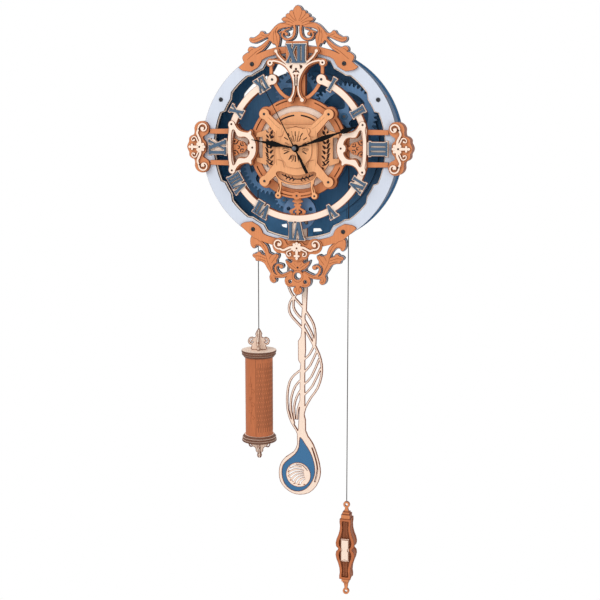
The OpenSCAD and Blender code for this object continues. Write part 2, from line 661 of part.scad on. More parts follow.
module low_spacers(r, r_mid) {
    at_low_lobes() circle(r);
    disc(r_mid, middle_lobe_at);
}

function leaf(c, l, w, a) = [for (i = [0:9]) let (t = i*36, u = l/2*cos(t), v = w/2*sin(t)*(1 - 0.35*cos(t)))
    [c[0] + u*cos(a) - v*sin(a), c[1] + u*sin(a) + v*cos(a)]];
module laurel_wings() color([0.87, 0.58, 0.39]) ply(laurel_y, trim_ply) difference() {
    union() {
        circle(44);
        for (s = [-1, 1]) {
            box2(s > 0 ? 20 : -45, -19, s > 0 ? 45 : -20, 19);
            for (t = [-1, 1]) poly([[s*40, t*13], [s*53.4, t*12.6], [s*52.6, t*17.8], [s*40, t*22]]);
        }
    }
    circle(4);
    both() {
        for (i = [0:6]) let (z = -20 + 6.2*i, x = 35 + 1.2*sin(90 + 12*(i - 3))) {
            poly(leaf([x - 2.7, z + 2.2], 5.4, 2.1, 128));
            poly(leaf([x + 2.7, z + 2.9], 5.4, 2.1, 52));
        }
        poly(leaf([34.6, 24.4], 4.6, 1.9, 90));
        sector(39, 40.6, 57, 84);
    }
    twig_2d();
}

// Badge: diagonal arms, a crescent opening over the laurel plate's twig and two legs
badge_side = [[0, 28.6], [19, 28.6], [23.4, 27.4], [26.4, 22], [27.4, 12], [27.6, 0], [27.4, -12],
    [26.4, -22], [25.6, -29], [26.8, -34], [23.2, -39.6], [13, -44.4], [0, -45.9]];
crescent = [[0, -33.8], [8, -32.8], [15, -30.6], [21.6, -28.6], [25.6, -31], [24, -34.8], [18.6, -39.6],
    [10, -42.6], [0, -43.6]];
function twig(x) = [x, -38.6 + 0.0144*x*x];
module twig_2d() {
    stroke([for (x = [-20:4:20]) twig(x)], 1.1, 1.1);
    for (s = [-1, 1], x = [4:4.4:17]) {
        stroke([twig(s*x), twig(s*x) + [2.2*s, -2.8]], 1.7, 0.8);
        stroke([twig(s*(x + 2)), twig(s*(x + 2)) + [s, 2.8]], 1.7, 0.8);
    }
}
module badge() color([0.88, 0.62, 0.42]) ply(bracket_y, trim_ply) difference() {
    union() {
        poly(mirrored(badge_side));
        both() {
            stroke([[12, 12], lobe_at], 15, 9);
            stroke([[12, -12], [lobe_at[0], -lobe_at[1]]], 15, 9);
            stroke(line([[21.4, -37], [20.6, -46], [22, -53], low_lobe_at]), 4.2, 5);
            disc(4, low_lobe_at);
        }
        at_lobes() circle(6.6);
    }
    circle(4);
    at_lobes() circle(1);
    both() {
        disc(0.9, low_lobe_at);
        stroke(line([[22, -44], [21.6, -50], [22.8, -54]]), 0.7, 0.7);
    }
    poly(loop(mirrored(crescent), 2));
}
shield_edge = [[0, 25.4], [6, 25.2], [9, 23.6], [14, 24.6], [17.6, 23.4], [18, 19.8], [16.4, 16.6],
    [18.4, 12.6], [20, 7], [20.4, 0], [20, -7], [18.6, -12], [16.4, -14.8], [13, -18.6], [12, -22.2],
    [7, -23.6], [0, -24.6]];
module badge_shield() color([0.90, 0.65, 0.45]) ply(shield_y, bracket_y - shield_y) difference() {
    poly(loop(mirrored(shield_edge), 2));
    circle(4);
    for (q = [0:90:270]) for (i = [-2:2]) rotate(q + 13*i)
        box2(i%2 == 0 ? 9 : 8, -0.3 - 0.12*abs(i), 14.6 + 0.8*(2 - abs(i)), 0.3 + 0.12*abs(i));
}

// Quartz movement with its battery and setting knob
knob_at = [12, 10];
cell_z = -17.3;
module quartz_movement() color([0.10, 0.10, 0.11]) {
    difference() {
        ply(movement_y, movement_depth) difference() {
            half = movement_side/2;
            poly([[-half + 2, -half], [half - 2, -half], [half, -half + 2], [half, half - 2],
                [half - 2, half], [-half + 2, half], [-half, half - 2], [-half, -half + 2]]);
        }
        in_place() translate([-25.8, movement_y + 1.3, cell_z - 7.15]) cube([51.6, 30, 14.3]);
        rod(knob_at, case_back_y - 2, case_back_y + 1, 1.5 + stud_gap);
    }
    rod(centre_at, top_y + 0.1, movement_y, 3.9);
    rod(centre_at, hour_y - 0.1, top_y + 0.1, 2.6);
    rod(centre_at, minute_y - 0.1, hour_y - 0.1, 1.7);
    rod(centre_at, second_y - 0.3, minute_y - 0.1, 0.7);
}
module battery() color([0.75, 0.62, 0.30]) in_place() translate([-25.2, movement_y + 1.3 + 7.1, cell_z])
    rotate([0, 90, 0]) {
        cylinder(r = 7.1, h = 49.2);
        cylinder(r = 2.7, h = 50.4);
    }
module setting_knob() color([0.55, 0.55, 0.57]) {
    rod(knob_at, case_back_y + 0.3, case_back_y + 2.9, 4.4);
    rod(knob_at, case_back_y - 1.8, case_back_y + 0.3, 1.5);
}

// Hands
function hand(l, w) = [[0, w*1.1], [0.16*l, w*0.75], [0.3*l, w*1.1], [0.42*l, w*2.2], [0.5*l, w*2.7],
    [0.56*l, w*2.4], [0.68*l, w*1.2], [0.78*l, w*0.7], [l, w*0.35]];
function both_edges(p) = concat(p, [for (i = [len(p) - 1:-1:0]) [p[i][0], -p[i][1]]]);
minute_edge = [[0, 1.3], [8, 1], [16, 1], [27, 2], [36, 3], [44, 2.6], [53, 1.2], [60, 1], [63.4, 3],
    [68, 3.4],
    [73, 2], [78, 0.6], [82.5, 0.3]];
module hour_hand() color([0.03, 0.03, 0.03]) ply(hour_y, 0.8) difference() {
    union() {
        rotate(170) poly(both_edges(hand(hour_len, 1.3)));
        circle(4.7);
    }
    circle(2.6 + stud_gap);
}
module minute_hand() color([0.03, 0.03, 0.03]) ply(minute_y, 0.8) difference() {
    union() {
        rotate(19.1) poly(both_edges([for (p = minute_edge) [p[0]*minute_len/82.5, p[1]]]));
        circle(3.9);
    }
    circle(1.7 + stud_gap);
}
cap_r = 2.8;
module second_hand() color([0.03, 0.03, 0.03]) {
    ply(second_y, 0.5) difference() {
        union() {
            rotate(117.8) poly(both_edges([[-34, 1.8], [-26, 2], [-12, 1.1], [0, 0.7], [second_len, 0.3]]));
            circle(cap_r);
        }
        circle(0.7 + stud_gap);
    }
    rod(centre_at, second_y - 2.4, second_y - 0.4, cap_r);
    rod(centre_at, second_y - 0.4, second_y, cap_r, 0.7 + stud_gap);
}

// Steel studs, their collars and caps
module studs() color([0.72, 0.73, 0.75]) {
    rod(centre_at, pulley_y - 0.9, frame_depth, stud_r);
    for (p = [second_at, third_at, escape_at]) rod(p, train_y - 1, frame_depth, stud_r);
    rod(lower_at, disc_y, train_y + wheel_ply + 0.9, stud_r);
    rod(pendulum_at, hub_y - 1.2, frame_depth, stud_r);
}
module collar(at, y0, y1, r = 4) rod(at, y0, y1, r, stud_r);
module stud_collars() blue() {
    collar(centre_at, great_y + wheel_ply + 0.3, back_disc_y, 6);
    collar(centre_at, pulley_y - 0.9, pulley_y - 0.3);
    collar(second_at, pinion_y + wheel_ply + 0.3, back_disc_y, 3.8);
    collar(third_at, train_y + wheel_ply + 0.3, back_disc_y, 3.8);
    collar(escape_at, escape_y + wheel_ply + 0.3, back_disc_y);
    for (p = [second_at, third_at, escape_at]) collar(p, train_y - 1, train_y - 0.3);
    collar(lower_at, disc_y + trim_ply, train_y - 0.3);
    collar(lower_at, train_y + wheel_ply + 0.3, train_y + wheel_ply + 0.9);
    collar(pendulum_at, hub_y - 1.2, hub_y - 0.3);
    collar(pendulum_at, escape_y + wheel_ply + 0.3, back_disc_y);
}

// Wheels
bore_r = stud_r + stud_gap;
module windows(n, r0, r1, part, lean = 0) for (i = [0:n - 1]) let (c = 360*(i + 0.5)/n, h = 180*part/n)
    poly(loop([polar(r1, c - h), polar(r1, c), polar(r1, c + h), polar((r0 + r1)/2, c + h - lean/2),
        polar(r0, c + h*0.8 - lean), polar(r0, c - h*0.8 - lean), polar((r0 + r1)/2, c - h - lean/2)], 3));
module pulley_2d(r) difference() {
    circle(r);
    windows(6, 17, 47, 0.7, 10);
    circle(bore_r);
}
module cord_pulley() blue() {
    ply(pulley_y, flange_w) pulley_2d(cord_run_r + 2.1);
    ply(pulley_y + flange_w, groove_w) pulley_2d(cord_run_r - cord_r - 0.3);
    ply(pulley_y + flange_w + groove_w, flange_w) pulley_2d(cord_run_r + 2.1);
}
module great_wheel() blue() ply(great_y, wheel_ply) difference() {
    poly(teeth(great_teeth));
    windows(6, 17, 47, 0.7, 10);
    circle(bore_r);
}
module second_wheel() blue() {
    ply(train_y, wheel_ply) turned(second_at, second_turn) difference() {
        poly(teeth(second_teeth));
        windows(5, 11, 30, 0.72, 22);
        circle(bore_r);
    }
    ply(train_y + wheel_ply, pinion_y - train_y - wheel_ply) turned(second_at) annulus(4.2, bore_r);
    ply(pinion_y, wheel_ply) turned(second_at, second_turn) difference() {
        poly(teeth(second_leaves));
        circle(bore_r);
    }
}
module third_wheel() blue() ply(train_y, wheel_ply) turned(third_at, third_turn) difference() {
    poly(teeth(third_teeth));
    windows(4, 7.5, 19.5, 0.66, 34);
    circle(bore_r);
}
module lower_wheel() blue() ply(train_y, wheel_ply) turned(lower_at, lower_turn) difference() {
    poly(teeth(lower_teeth));
    windows(5, 10, 28, 0.7, 26);
    circle(bore_r);
}
module escape_pinions() blue() {
    ply(train_y - 0.2, wheel_ply + 0.4) turned(escape_at, escape_turn) pinion_2d(escape_leaves);
    ply(train_y + wheel_ply + 0.2, pinion_y - train_y - wheel_ply - 0.2) turned(escape_at) annulus(5, bore_r);
    ply(pinion_y, wheel_ply) turned(escape_at, escape_turn) pinion_2d(escape_leaves);
    ply(pinion_y + wheel_ply, escape_y - pinion_y - wheel_ply) turned(escape_at) annulus(5, bore_r);
}
module pinion_2d(n) difference() {
    poly(teeth(n));
    circle(bore_r);
}
escape_points = [for (i = [0:11]) each [polar(escape_r, 30*i), polar(escape_r - 0.6, 30*i + 4),
    polar(escape_r - 4.4, 30*i + 12), polar(escape_r - 5, 30*i + 22), polar(escape_r - 4.2, 30*i + 27)]];
module escape_wheel() blue() ply(escape_y, wheel_ply) turned(escape_at, 0) difference() {
    poly(escape_points);
    circle(bore_r);
}
anchor_dir = atan2(escape_at[1] - pendulum_at[1], escape_at[0] - pendulum_at[0]);
function pallet(s) = let (a = anchor_dir + 180 + 52*s) escape_at + polar(escape_r + 3, a);
module pallet_anchor() blue() {
    ply(escape_y, wheel_ply) difference() {
        union() {
            disc(6.4, pendulum_at);
            for (s = [-1, 1]) {
                stroke([pendulum_at, pendulum_at*0.45 + pallet(s)*0.55, pallet(s)], 6, 3.2);
                disc(1.7, pallet(s));
            }
        }
        disc(bore_r, pendulum_at);
    }
    rod(pendulum_at, rod_y + frame_ply, escape_y, 5, bore_r);
}

// Pendulum: twisted strands along a spine, ending in a drop-shaped bob
function hung(p) = [for (q = p) [q[0], q[1] - (pendulum_len - 343)*min(1, max(0, (-q[1] - 110)/220))]];
spine = [[4.4, -74], [8.4, -78], [9.8, -120], [9.6, -175], [8.1, -206], [6.3, -213], [6.6, -221], [5.3, -229],
    [6.6, -237], [7.1, -258], [6.2, -268], [6, -300], [6.2, -330], [5, -342], [7, -350], [7.2, -366],
    [1.2, -376], [-3.6, -376], [-3.4, -368], [-0.8, -330], [-0.5, -284], [0.4, -276], [-2.8, -271],
    [-3, -246], [0.6, -240], [1.6, -231], [1.6, -211], [2.6, -199], [2.1, -187], [1.6, -150], [0, -120],
    [-7.6, -86], [-7, -76]];
bob_edge = [[-3.8, -366], [-4.3, -376], [-4.3, -383.3], [-9, -393.1], [-20.4, -401.6], [-27.1, -411.6],
    [-29, -423.3], [-27.2, -434.6], [-20.5, -443.6], [-10.9, -449.5], [-0.5, -450.9], [11.8, -447.5],
    [21.3, -438.1], [26.5, -425], [26.9, -414], [24, -400], [17.4, -381.6], [10, -371], [7, -364], [0, -362]];
inlay_edge = [[-0.3, -373.4], [6.1, -381.5], [13.7, -393.2], [18.4, -407], [19.4, -420], [15.6, -431.4],
    [8.1, -441.4], [-2, -446.2], [-12.9, -444.6], [-21.4, -436.4], [-24.6, -424.8], [-23.3, -413.2],
    [-16.6, -405.1], [-7.1, -396.7], [-1.6, -386.8]];
strands = [
    [[-15.6, -150], [-16.6, -164], [-16.1, -173.9], [-13.6, -181.2], [-9, -188.9], [-3.5, -195], [3.4, -202]],
    [[-8.6, -188], [-13.6, -196], [-15.2, -205], [-12.6, -212.9], [-6, -220.5], [1.6, -228], [4, -232]],
    [[-8.6, -190], [-9.4, -201.8], [-5.6, -209.6], [-0.6, -215], [4, -219]],
    [[-2, -183], [-7.6, -188.6], [-12.6, -194]],
    [[5.4, -205], [12, -214], [17.4, -224], [19.6, -236], [19.4, -250]],
    [[5, -218], [11.6, -229], [16.4, -239], [18.6, -250], [24.4, -262], [28, -276], [27.6, -291],
    [22.6, -307],
    [13.8, -320], [6.4, -333.6], [4, -343]],
    [[4.4, -228], [11.6, -240], [16.6, -249], [19, -254]],
    [[4.6, -270], [12, -263], [18.6, -250]], [[4.6, -287], [13, -277], [21.6, -258]],
    [[4.6, -303], [14.6, -292], [24.8, -268]], [[4.6, -317], [16, -304], [26.8, -280]],
    [[0.6, -284], [-8, -291], [-14.6, -301], [-17.6, -318.6], [-16.9, -338], [-11.6, -354], [-5, -364],
    [-2, -372]],
    [[0.6, -297], [-7, -306], [-12.4, -322], [-12.6, -340], [-8.6, -356]],
    [[0.6, -310], [-5, -320], [-8.6, -334], [-7.6, -350]], [[0.6, -324], [-3.4, -336], [-4.6, -350]]];
module bob_2d() poly(loop(hung(bob_edge), 2));
module inlay_2d() poly(loop(hung(inlay_edge), 2));
shell_at = [-2.6, pendulum_at[1] - pendulum_len];
module pendulum_rod() pale() ply(rod_y, frame_ply) {
    difference() {
        union() {
            difference() {
                poly(hung(spine));
                disc(8, pendulum_at);
            }
            disc(9.4, pendulum_at);
            for (s = strands) stroke(line(hung(s), 2), 2.7, 2.7);
            bob_2d();
            stroke([[-15.6, -151], [-7, -110], [-3, -90]], 2.7, 4);
        }
        inlay_2d();
        disc(bore_r, pendulum_at);
        stroke(line(hung([[15.8, -386], [21, -402], [23, -416], [19.6, -432]]), 3), 0.8, 0.8);
    }
}
module bob_inlay() blue() ply(rod_y + 0.4, frame_ply - 0.4) difference() {
    inlay_2d();
    disc(shell_r, shell_at);
}
function shell_rib(a) = let (r = shell_r, o = [0.72*r, 0.02*r], e = a + 16, u = [cos(e), sin(e)], b = o*u,
    l = -b + sqrt(b*b - o*o + 0.7*r*r))
    [for (t = [0.3:0.17:1]) shell_at + o + l*t*[cos(a + 16*t), sin(a + 16*t)]];
module bob_shell() pale() ply(rod_y, frame_ply) difference() {
    disc(shell_r, shell_at);
    for (i = [0:6]) stroke(shell_rib(96 + 23*i), 0.7, 1.9);
}
module pendulum_hub() blue() ply(hub_y, frame_ply) difference() {
    disc(21.5, pendulum_at);
    disc(bore_r, pendulum_at);
    for (i = [0:4]) disc(2.4, pendulum_at + polar(15, 72*i + 18));
}

// Weight
weight_at = [-cord_run_r, cord_y];
cap_t = 3;
rim_t = 3;
finial_h = 28;
tube_top = -weight_hang - finial_h - 2*cap_t - rim_t;
tube_low = tube_top - tube_h;
module weight_part(z, h, r, r_in = 0, r2 = 0) in_place() translate([weight_at[0], weight_at[1], z])
    difference() {
        cylinder(r1 = r, r2 = r2 > 0 ? r2 : r, h = h);
        if (r_in > 0) translate([0, 0, -1]) cylinder(r = r_in, h = h + 2);
    }
module weight_tube() color([0.76, 0.44, 0.28]) weight_part(tube_low, tube_h, tube_r, tube_r - 2.2);
module weight_filling() color([0.45, 0.46, 0.48]) weight_part(tube_low, tube_h - 20, tube_r - 2.5);
module weight_caps() pale() {
    weight_part(tube_top, rim_t, flange_r - 3, 0, flange_r - 1);
    weight_part(tube_top + rim_t, cap_t, flange_r);
    weight_part(tube_top + rim_t + cap_t, cap_t, flange_r - 1);
    weight_part(tube_low - cap_t, cap_t, flange_r - 1);
    weight_part(tube_low - 2*cap_t, cap_t, flange_r);
    weight_part(tube_low - 2*cap_t - rim_t, rim_t, flange_r - 4, 0, flange_r - 1);
}
finial_edge = [[0, 0], [2.4, -3], [4, -7], [3.4, -10], [5.6, -12], [8, -11], [11.4, -12.4], [13, -16.4],
    [11.6, -20.6], [8.4, -22.2], [9.4, -26], [7, -28], [0, -28]];
low_finial_edge = [[0, -21], [2, -20.6], [3.2, -18.4], [2.4, -15.8], [4.6, -14.6], [5.2, -11], [8, -8.6],
    [11.6, -9.4], [14.2, -6.8], [14, -2.4], [11.6, 0], [0, 0]];
module finial(edge, z, volute_at, s) in_place() translate([weight_at[0], weight_at[1], z])
    for (a = [45, 135]) rotate([90, 0, a]) translate([0, 0, -1.2]) linear_extrude(2.4) difference() {
        poly(loop(mirrored(edge), 2));
        both() stroke(spiral(volute_at, 3, 0.8, 90*s, -250*s, 12), 1.3, 0.8);
        box2(-30, 0, 30, 5);
        box2(-30, -finial_h - 5, 30, -finial_h);
    }
module weight_finials() pale() {
    finial(finial_edge, -weight_hang, [8, -17], 1);
    finial(low_finial_edge, tube_low - 2*cap_t - rim_t, [10.2, -5], -1);
}

// Handle: two profiled plates over a narrower core, with an eye at each end and a bare label
handle_at = cord_run_r;
eye_r = 4.3;
handle_top = -handle_hang - 18.6;
handle_mid = handle_top - handle_h/2;
function stretched(p) = [for (q = p) [handle_at + q[0], handle_mid + q[1]*handle_h/86]];
handle_edge = [[0, 43], [8.6, 43], [10, 41], [8.6, 36], [8.4, 27], [9.8, 19.6], [12.6, 13.6], [14.2, 8.6],
    [13.6, 4], [10, 0], [13.6, -4], [14.2, -8.6], [12.6, -13.6], [9.8, -19.6], [8.4, -28], [8.8, -36],
    [10, -41.6], [8.6, -43], [0, -43]];
handle_slot = [[-3.4, 41], [3, 41], [2.6, 30], [3.6, 20], [8.6, 12], [9.6, 7], [7, 1], [7, -1], [9.6, -7],
    [8.6, -12],
    [3.6, -20], [2.6, -30], [3, -41.6], [-3.4, -41.6], [-3, -30], [-4, -20], [-8.8, -12], [-9.8, -7],
    [-7.4, -1], [-7.4, 1], [-9.8, 7], [-8.8, 12], [-4, 20], [-3, 30]];
plate_t = 3.2;
handle_depth = 16.4;
handle_y = cord_y - handle_depth/2;
module handle_plates() color([0.78, 0.46, 0.29]) {
    for (y = [handle_y, handle_y + handle_depth - plate_t]) ply(y, plate_t) difference() {
        poly(stretched(mirrored(handle_edge)));
        poly(stretched(handle_slot));
    }
    ply(handle_y + plate_t, handle_depth - 2*plate_t) difference() {
        poly(stretched([for (q = mirrored(handle_edge)) [q[0]*0.86, q[1]]]));
        translate([handle_at - 2, handle_mid - 38*handle_h/86]) square([4, 76*handle_h/86]);
    }
}
eye_z = [-handle_hang - eye_r, handle_top - handle_h - 17];
module handle_fittings() color([0.80, 0.48, 0.31]) {
    ply(cord_y - 2, 4) for (s = [0, 1]) {
        z = eye_z[s];
        end = s == 0 ? handle_top : handle_top - handle_h;
        difference() {
            union() {
                disc(eye_r, [handle_at, z]);
                poly([[handle_at - 3.6, end], [handle_at + 3.6, end],
                    [handle_at + 3.3, z + (end - z)*0.5], [handle_at + 2, z + (end - z)*0.3],
                    [handle_at - 2, z + (end - z)*0.3], [handle_at - 3.3, z + (end - z)*0.5]]);
            }
            disc(1.2, [handle_at, z]);
        }
    }
    for (s = [0, 1]) ply(cord_y - 5.6, 3.6) collar_2d(s);
    for (s = [0, 1]) ply(cord_y + 2, 3.6) collar_2d(s);
}
module collar_2d(s) translate([handle_at - 6.4, s == 0 ? handle_top : handle_top - handle_h - 4.6])
    square([12.8, 4.6]);
module handle_label() pale() ply(handle_y - 2.4, 2.4) difference() {
    translate([handle_at - 6.7, handle_mid - 17.3]) square([13.4, 34.6]);
    both_at(handle_at) disc(1, [handle_at + 6.9, handle_mid]);
}
module both_at(x) { children(); translate([2*x, 0]) mirror([1, 0]) children(); }

// Screws with domed heads
module head(at, y, r) in_place() translate([at[0], y, at[1]]) rotate([90, 0, 0])
    cylinder(r1 = r, r2 = r*0.55, h = 1.1);
module screws() color([0.25, 0.26, 0.28]) {
    for (p = ring_screws) {
        head(p*fit, 0, 2.2);
        rod(p*fit, 0, frame_ply, screw_r);
    }
    for (p = plate_screws) {
        head(p*fit, crest_y, 2.2);
        rod(p*fit, crest_y, frame_ply, screw_r);
    }
    head(middle_lobe_at, low_band_y, 1.2);
    rod(middle_lobe_at, low_band_y, low_band_y + trim_ply, 0.9);
    for (x = [-1, 1]) {
        for (z = [-1, 1]) head([lobe_at[0]*x, lobe_at[1]*z], bracket_y, 1.5);
        for (z = [-1, 1]) rod([lobe_at[0]*x, lobe_at[1]*z], bracket_y, disc_y, 1);
        head([low_lobe_at[0]*x, low_lobe_at[1]], bracket_y, 1.3);
        rod([low_lobe_at[0]*x, low_lobe_at[1]], bracket_y, disc_y, 0.9);
        head([boss_at[0]*x, boss_at[1]], dial_y, 1.5);
        rod([boss_at[0]*x, boss_at[1]], dial_y, crest_y + frame_ply + 2, 1);
    }
}

// Cords
module pulley_cord() color([0.35, 0.30, 0.26]) in_place() translate([0, cord_y, 0]) rotate([90, 0, 0])
    rotate_extrude(angle = 180) translate([cord_run_r, 0]) circle(cord_r, $fn = 24);
module hanging(x, h) in_place() translate([x, cord_y, -h]) cylinder(r = cord_r, h = h, $fn = 24);
module weight_cord() color([0.35, 0.30, 0.26]) hanging(-cord_run_r, weight_hang);
module handle_cord() color([0.35, 0.30, 0.26]) hanging(cord_run_r, handle_hang);

front_ring();
trim_ring();
side_band();
back_plate();
back_disc();
crest_front();
crest_back();
drop_front();
drop_back();
numeral_ring();
numeral_backing();
numerals();
twelve_bracket();
twelve_bracket_core();
side_brackets();
side_bracket_cores();
side_panels();
side_panel_backs();
side_straps();
edge_scrolls();
edge_scroll_cores();
bottom_floral();
medallion_disc();
medallion_ring();
medallion_frame();
laurel_wings();
badge();
badge_shield();
quartz_movement();
battery();
setting_knob();
hour_hand();
minute_hand();
second_hand();
studs();
stud_collars();
cord_pulley();
great_wheel();
second_wheel();
third_wheel();
lower_wheel();
escape_pinions();
escape_wheel();
pallet_anchor();
pendulum_rod();
bob_inlay();
bob_shell();
pendulum_hub();
weight_tube();
weight_caps();
weight_finials();
weight_filling();
handle_plates();
handle_fittings();
handle_label();
screws();
pulley_cord();
weight_cord();
handle_cord();
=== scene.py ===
"""Looks of a plywood wall clock with an open gear train, a hanging weight, a pull handle and a pendulum.

Run as a script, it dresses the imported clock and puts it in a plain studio. Metres, +Z up, the clock faces -Y.
"""

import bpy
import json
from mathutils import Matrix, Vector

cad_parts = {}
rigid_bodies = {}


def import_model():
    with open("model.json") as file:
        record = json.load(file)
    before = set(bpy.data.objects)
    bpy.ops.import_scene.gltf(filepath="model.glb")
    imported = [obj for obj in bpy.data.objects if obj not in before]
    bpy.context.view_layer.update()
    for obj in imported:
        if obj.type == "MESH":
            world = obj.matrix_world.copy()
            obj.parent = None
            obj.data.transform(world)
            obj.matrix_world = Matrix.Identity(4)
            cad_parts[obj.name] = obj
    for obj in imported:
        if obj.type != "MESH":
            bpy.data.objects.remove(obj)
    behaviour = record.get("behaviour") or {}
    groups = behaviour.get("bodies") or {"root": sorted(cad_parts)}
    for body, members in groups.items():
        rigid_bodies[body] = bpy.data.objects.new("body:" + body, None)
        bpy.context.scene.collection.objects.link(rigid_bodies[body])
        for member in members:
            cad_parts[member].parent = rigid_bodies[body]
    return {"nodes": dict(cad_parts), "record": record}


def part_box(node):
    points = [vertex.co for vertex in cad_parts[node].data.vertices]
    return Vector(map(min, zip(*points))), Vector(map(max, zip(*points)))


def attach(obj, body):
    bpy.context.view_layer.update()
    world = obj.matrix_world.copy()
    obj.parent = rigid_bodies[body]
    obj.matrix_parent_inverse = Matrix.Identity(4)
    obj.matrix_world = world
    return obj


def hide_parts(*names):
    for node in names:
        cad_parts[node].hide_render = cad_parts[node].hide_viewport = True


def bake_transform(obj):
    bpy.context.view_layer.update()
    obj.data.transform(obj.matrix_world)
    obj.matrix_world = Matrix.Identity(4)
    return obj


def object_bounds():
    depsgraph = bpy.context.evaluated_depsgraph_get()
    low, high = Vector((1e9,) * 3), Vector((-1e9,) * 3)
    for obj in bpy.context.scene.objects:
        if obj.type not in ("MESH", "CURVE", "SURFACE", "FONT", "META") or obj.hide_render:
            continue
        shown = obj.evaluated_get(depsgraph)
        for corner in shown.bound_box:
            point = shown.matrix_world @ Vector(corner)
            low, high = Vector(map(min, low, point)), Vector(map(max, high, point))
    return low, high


bl_info = {
    "name": "Plywood wall clock",
    "version": (1, 0, 0),
    "blender": (4, 5, 0),
    "location": "View3D > Sidebar > Clock",
    "description": "Wood, paint, metal and cords for a laser-cut wall clock",
    "category": "Object",
}

import json
import math

import bmesh
import bpy
from bpy.props import FloatProperty, FloatVectorProperty, IntProperty, PointerProperty
from mathutils import Matrix, Vector

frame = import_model()
CAD_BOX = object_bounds()

MM = 0.001
RING_LOW, RING_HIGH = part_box("front_ring")
DIAL = Vector(((RING_LOW.x + RING_HIGH.x) / 2, RING_LOW.y, (RING_LOW.z + RING_HIGH.z) / 2))


# Faces that carry screws, lines and inlays, in millimetres behind the front ring's face
CREST_FACE, LAUREL_FACE, PLATE_FACE, BADGE_FACE, SHIELD_FACE = -3, -3, -7.8, -10.2, -11.8


def at(x, z, y):
    """A place given in millimetres from the middle of the dial, y behind the front ring's face."""
    return DIAL + Vector((x, y, z)) * MM


def linear(red, green, blue):
    """A colour written as it looks on a screen, 0 to 255, in linear light."""
    shares = [c / 255 for c in (red, green, blue)]
    return [s / 12.92 if s <= 0.04045 else ((s + 0.055) / 1.055) ** 2.4 for s in shares]


def colour(name, rgb, words):
    return FloatVectorProperty(
        name=name, description=words, subtype="COLOR", size=3, min=0, max=1, default=linear(*rgb)
    )


class ClockFinishes(bpy.types.PropertyGroup):
    """Colours of the stains, paints and metals, and lighter or darker copies of some of them that carry painted
    light and shade.
    """

    birch_pale: colour("Pale birch", (247, 222, 203), "Bare birch face")
    birch_orange: colour("Orange birch", (214, 132, 80), "Stained face of ornaments and cores")
    birch_red: colour("Red birch", (194, 108, 60), "Stained face of the weight and the handle")
    burnt: colour("Burnt edge", (84, 44, 26), "Line that the laser leaves round a face")
    edge_pale: colour("Edge of pale birch", (152, 92, 60), "Cut edge of bare birch")
    edge_orange: colour("Edge of orange birch", (150, 78, 44), "Cut edge of stained birch")
    paint_blue: colour("Dark blue", (54, 116, 164), "Stain of the back")
    edge_blue: colour("Edge of dark blue", (20, 34, 52), "Cut edge of the blue pieces")
    paint_grey: colour("Grey-blue", (205, 212, 225), "Paint of the front ring")
    ply_grey: colour("Grey ply", (190, 197, 212), "Backing ply of the crest and the drop")
    edge_grey: colour("Edge of grey ply", (44, 42, 44), "Cut edge of the backing ply")
    paint_slate: colour("Slate", (60, 88, 114), "Paint of the numerals")
    hands_black: colour("Black", (12, 12, 13), "Paint of the hands")
    steel: colour("Steel", (92, 94, 100), "Studs and the cap of the hands")
    screw_dark: colour("Blackened steel", (40, 41, 46), "Screws")
    cord: colour("Cord", (58, 52, 48), "Twisted cord")
    engraved: colour("Engraving", (120, 62, 34), "Line that the laser engraves on a face")
    medal_orange: colour("Light orange birch", (233, 165, 113), "Badge, shield, laurel and medallion")
    # A lighter copy of the one blue stain: painted light on the wheels.
    wheel_blue_painted_light: colour("Wheel blue", (92, 138, 184), "Stain of the wheels")
    # A darker copy of the one blue stain: painted shade on the bent side band.
    band_blue_painted_shade: colour("Band blue", (36, 76, 112), "Stain of the bent side band")
    # A lighter copy of the one blue stain: painted light on the pendulum's disc.
    hub_blue_painted_light: colour("Hub blue", (104, 142, 186), "Stain of the pendulum's disc")
    bob_blue: colour("Bob blue", (46, 104, 148), "Stain of the inlay in the bob")
    # Char is the colour of the laser's char, and it also stands for painted shade in openings: the laurel's
    # leaves, the piercings, the holes of the pins and the weight's slits.
    char: colour("Char", (58, 32, 22), "Deep cuts and the holes of pins")


class ClockDetails(bpy.types.PropertyGroup):
    """Sizes of what is finer than the plies."""

    burnt_width: FloatProperty(
        name="Burnt line", description="Width of the burnt line round a face", default=0.5 * MM, unit="LENGTH"
    )
    vein_width: FloatProperty(
        name="Vein", description="Width of an engraved vein", default=0.5 * MM, unit="LENGTH"
    )
    cord_diameter: FloatProperty(
        name="Cord", description="Diameter of the cord", default=1.2 * MM, unit="LENGTH"
    )
    cord_steps: IntProperty(name="Cord steps", description="Rings along a cord", default=24, min=15, max=40)


class ClockView(bpy.types.PropertyGroup):
    """The camera and the light."""

    camera_at: FloatVectorProperty(
        name="Camera", description="Place of the camera", size=3, subtype="TRANSLATION",
        default=(0.3879, -1.4955, -0.0501),
    )
    camera_target: FloatVectorProperty(
        name="Target", description="Point that the camera looks at", size=3, subtype="TRANSLATION",
        default=(0.002357, -0.048, -0.306404),
    )
    lens: FloatProperty(name="Lens", description="Focal length in millimetres", default=72.21)
    sky: FloatProperty(name="Sky", description="Strength of the even light", default=0.72)
    key: FloatProperty(name="Key", description="Power of the key lamp in watts", default=16.0)
    fill: FloatProperty(name="Fill", description="Power of the fill lamp in watts", default=7.0)
    floor_drop: FloatProperty(
        name="Floor", description="Drop from the clock's lowest point to the floor", default=1.1, unit="LENGTH"
    )


# Shader building blocks

LAYER = 1.2 * MM


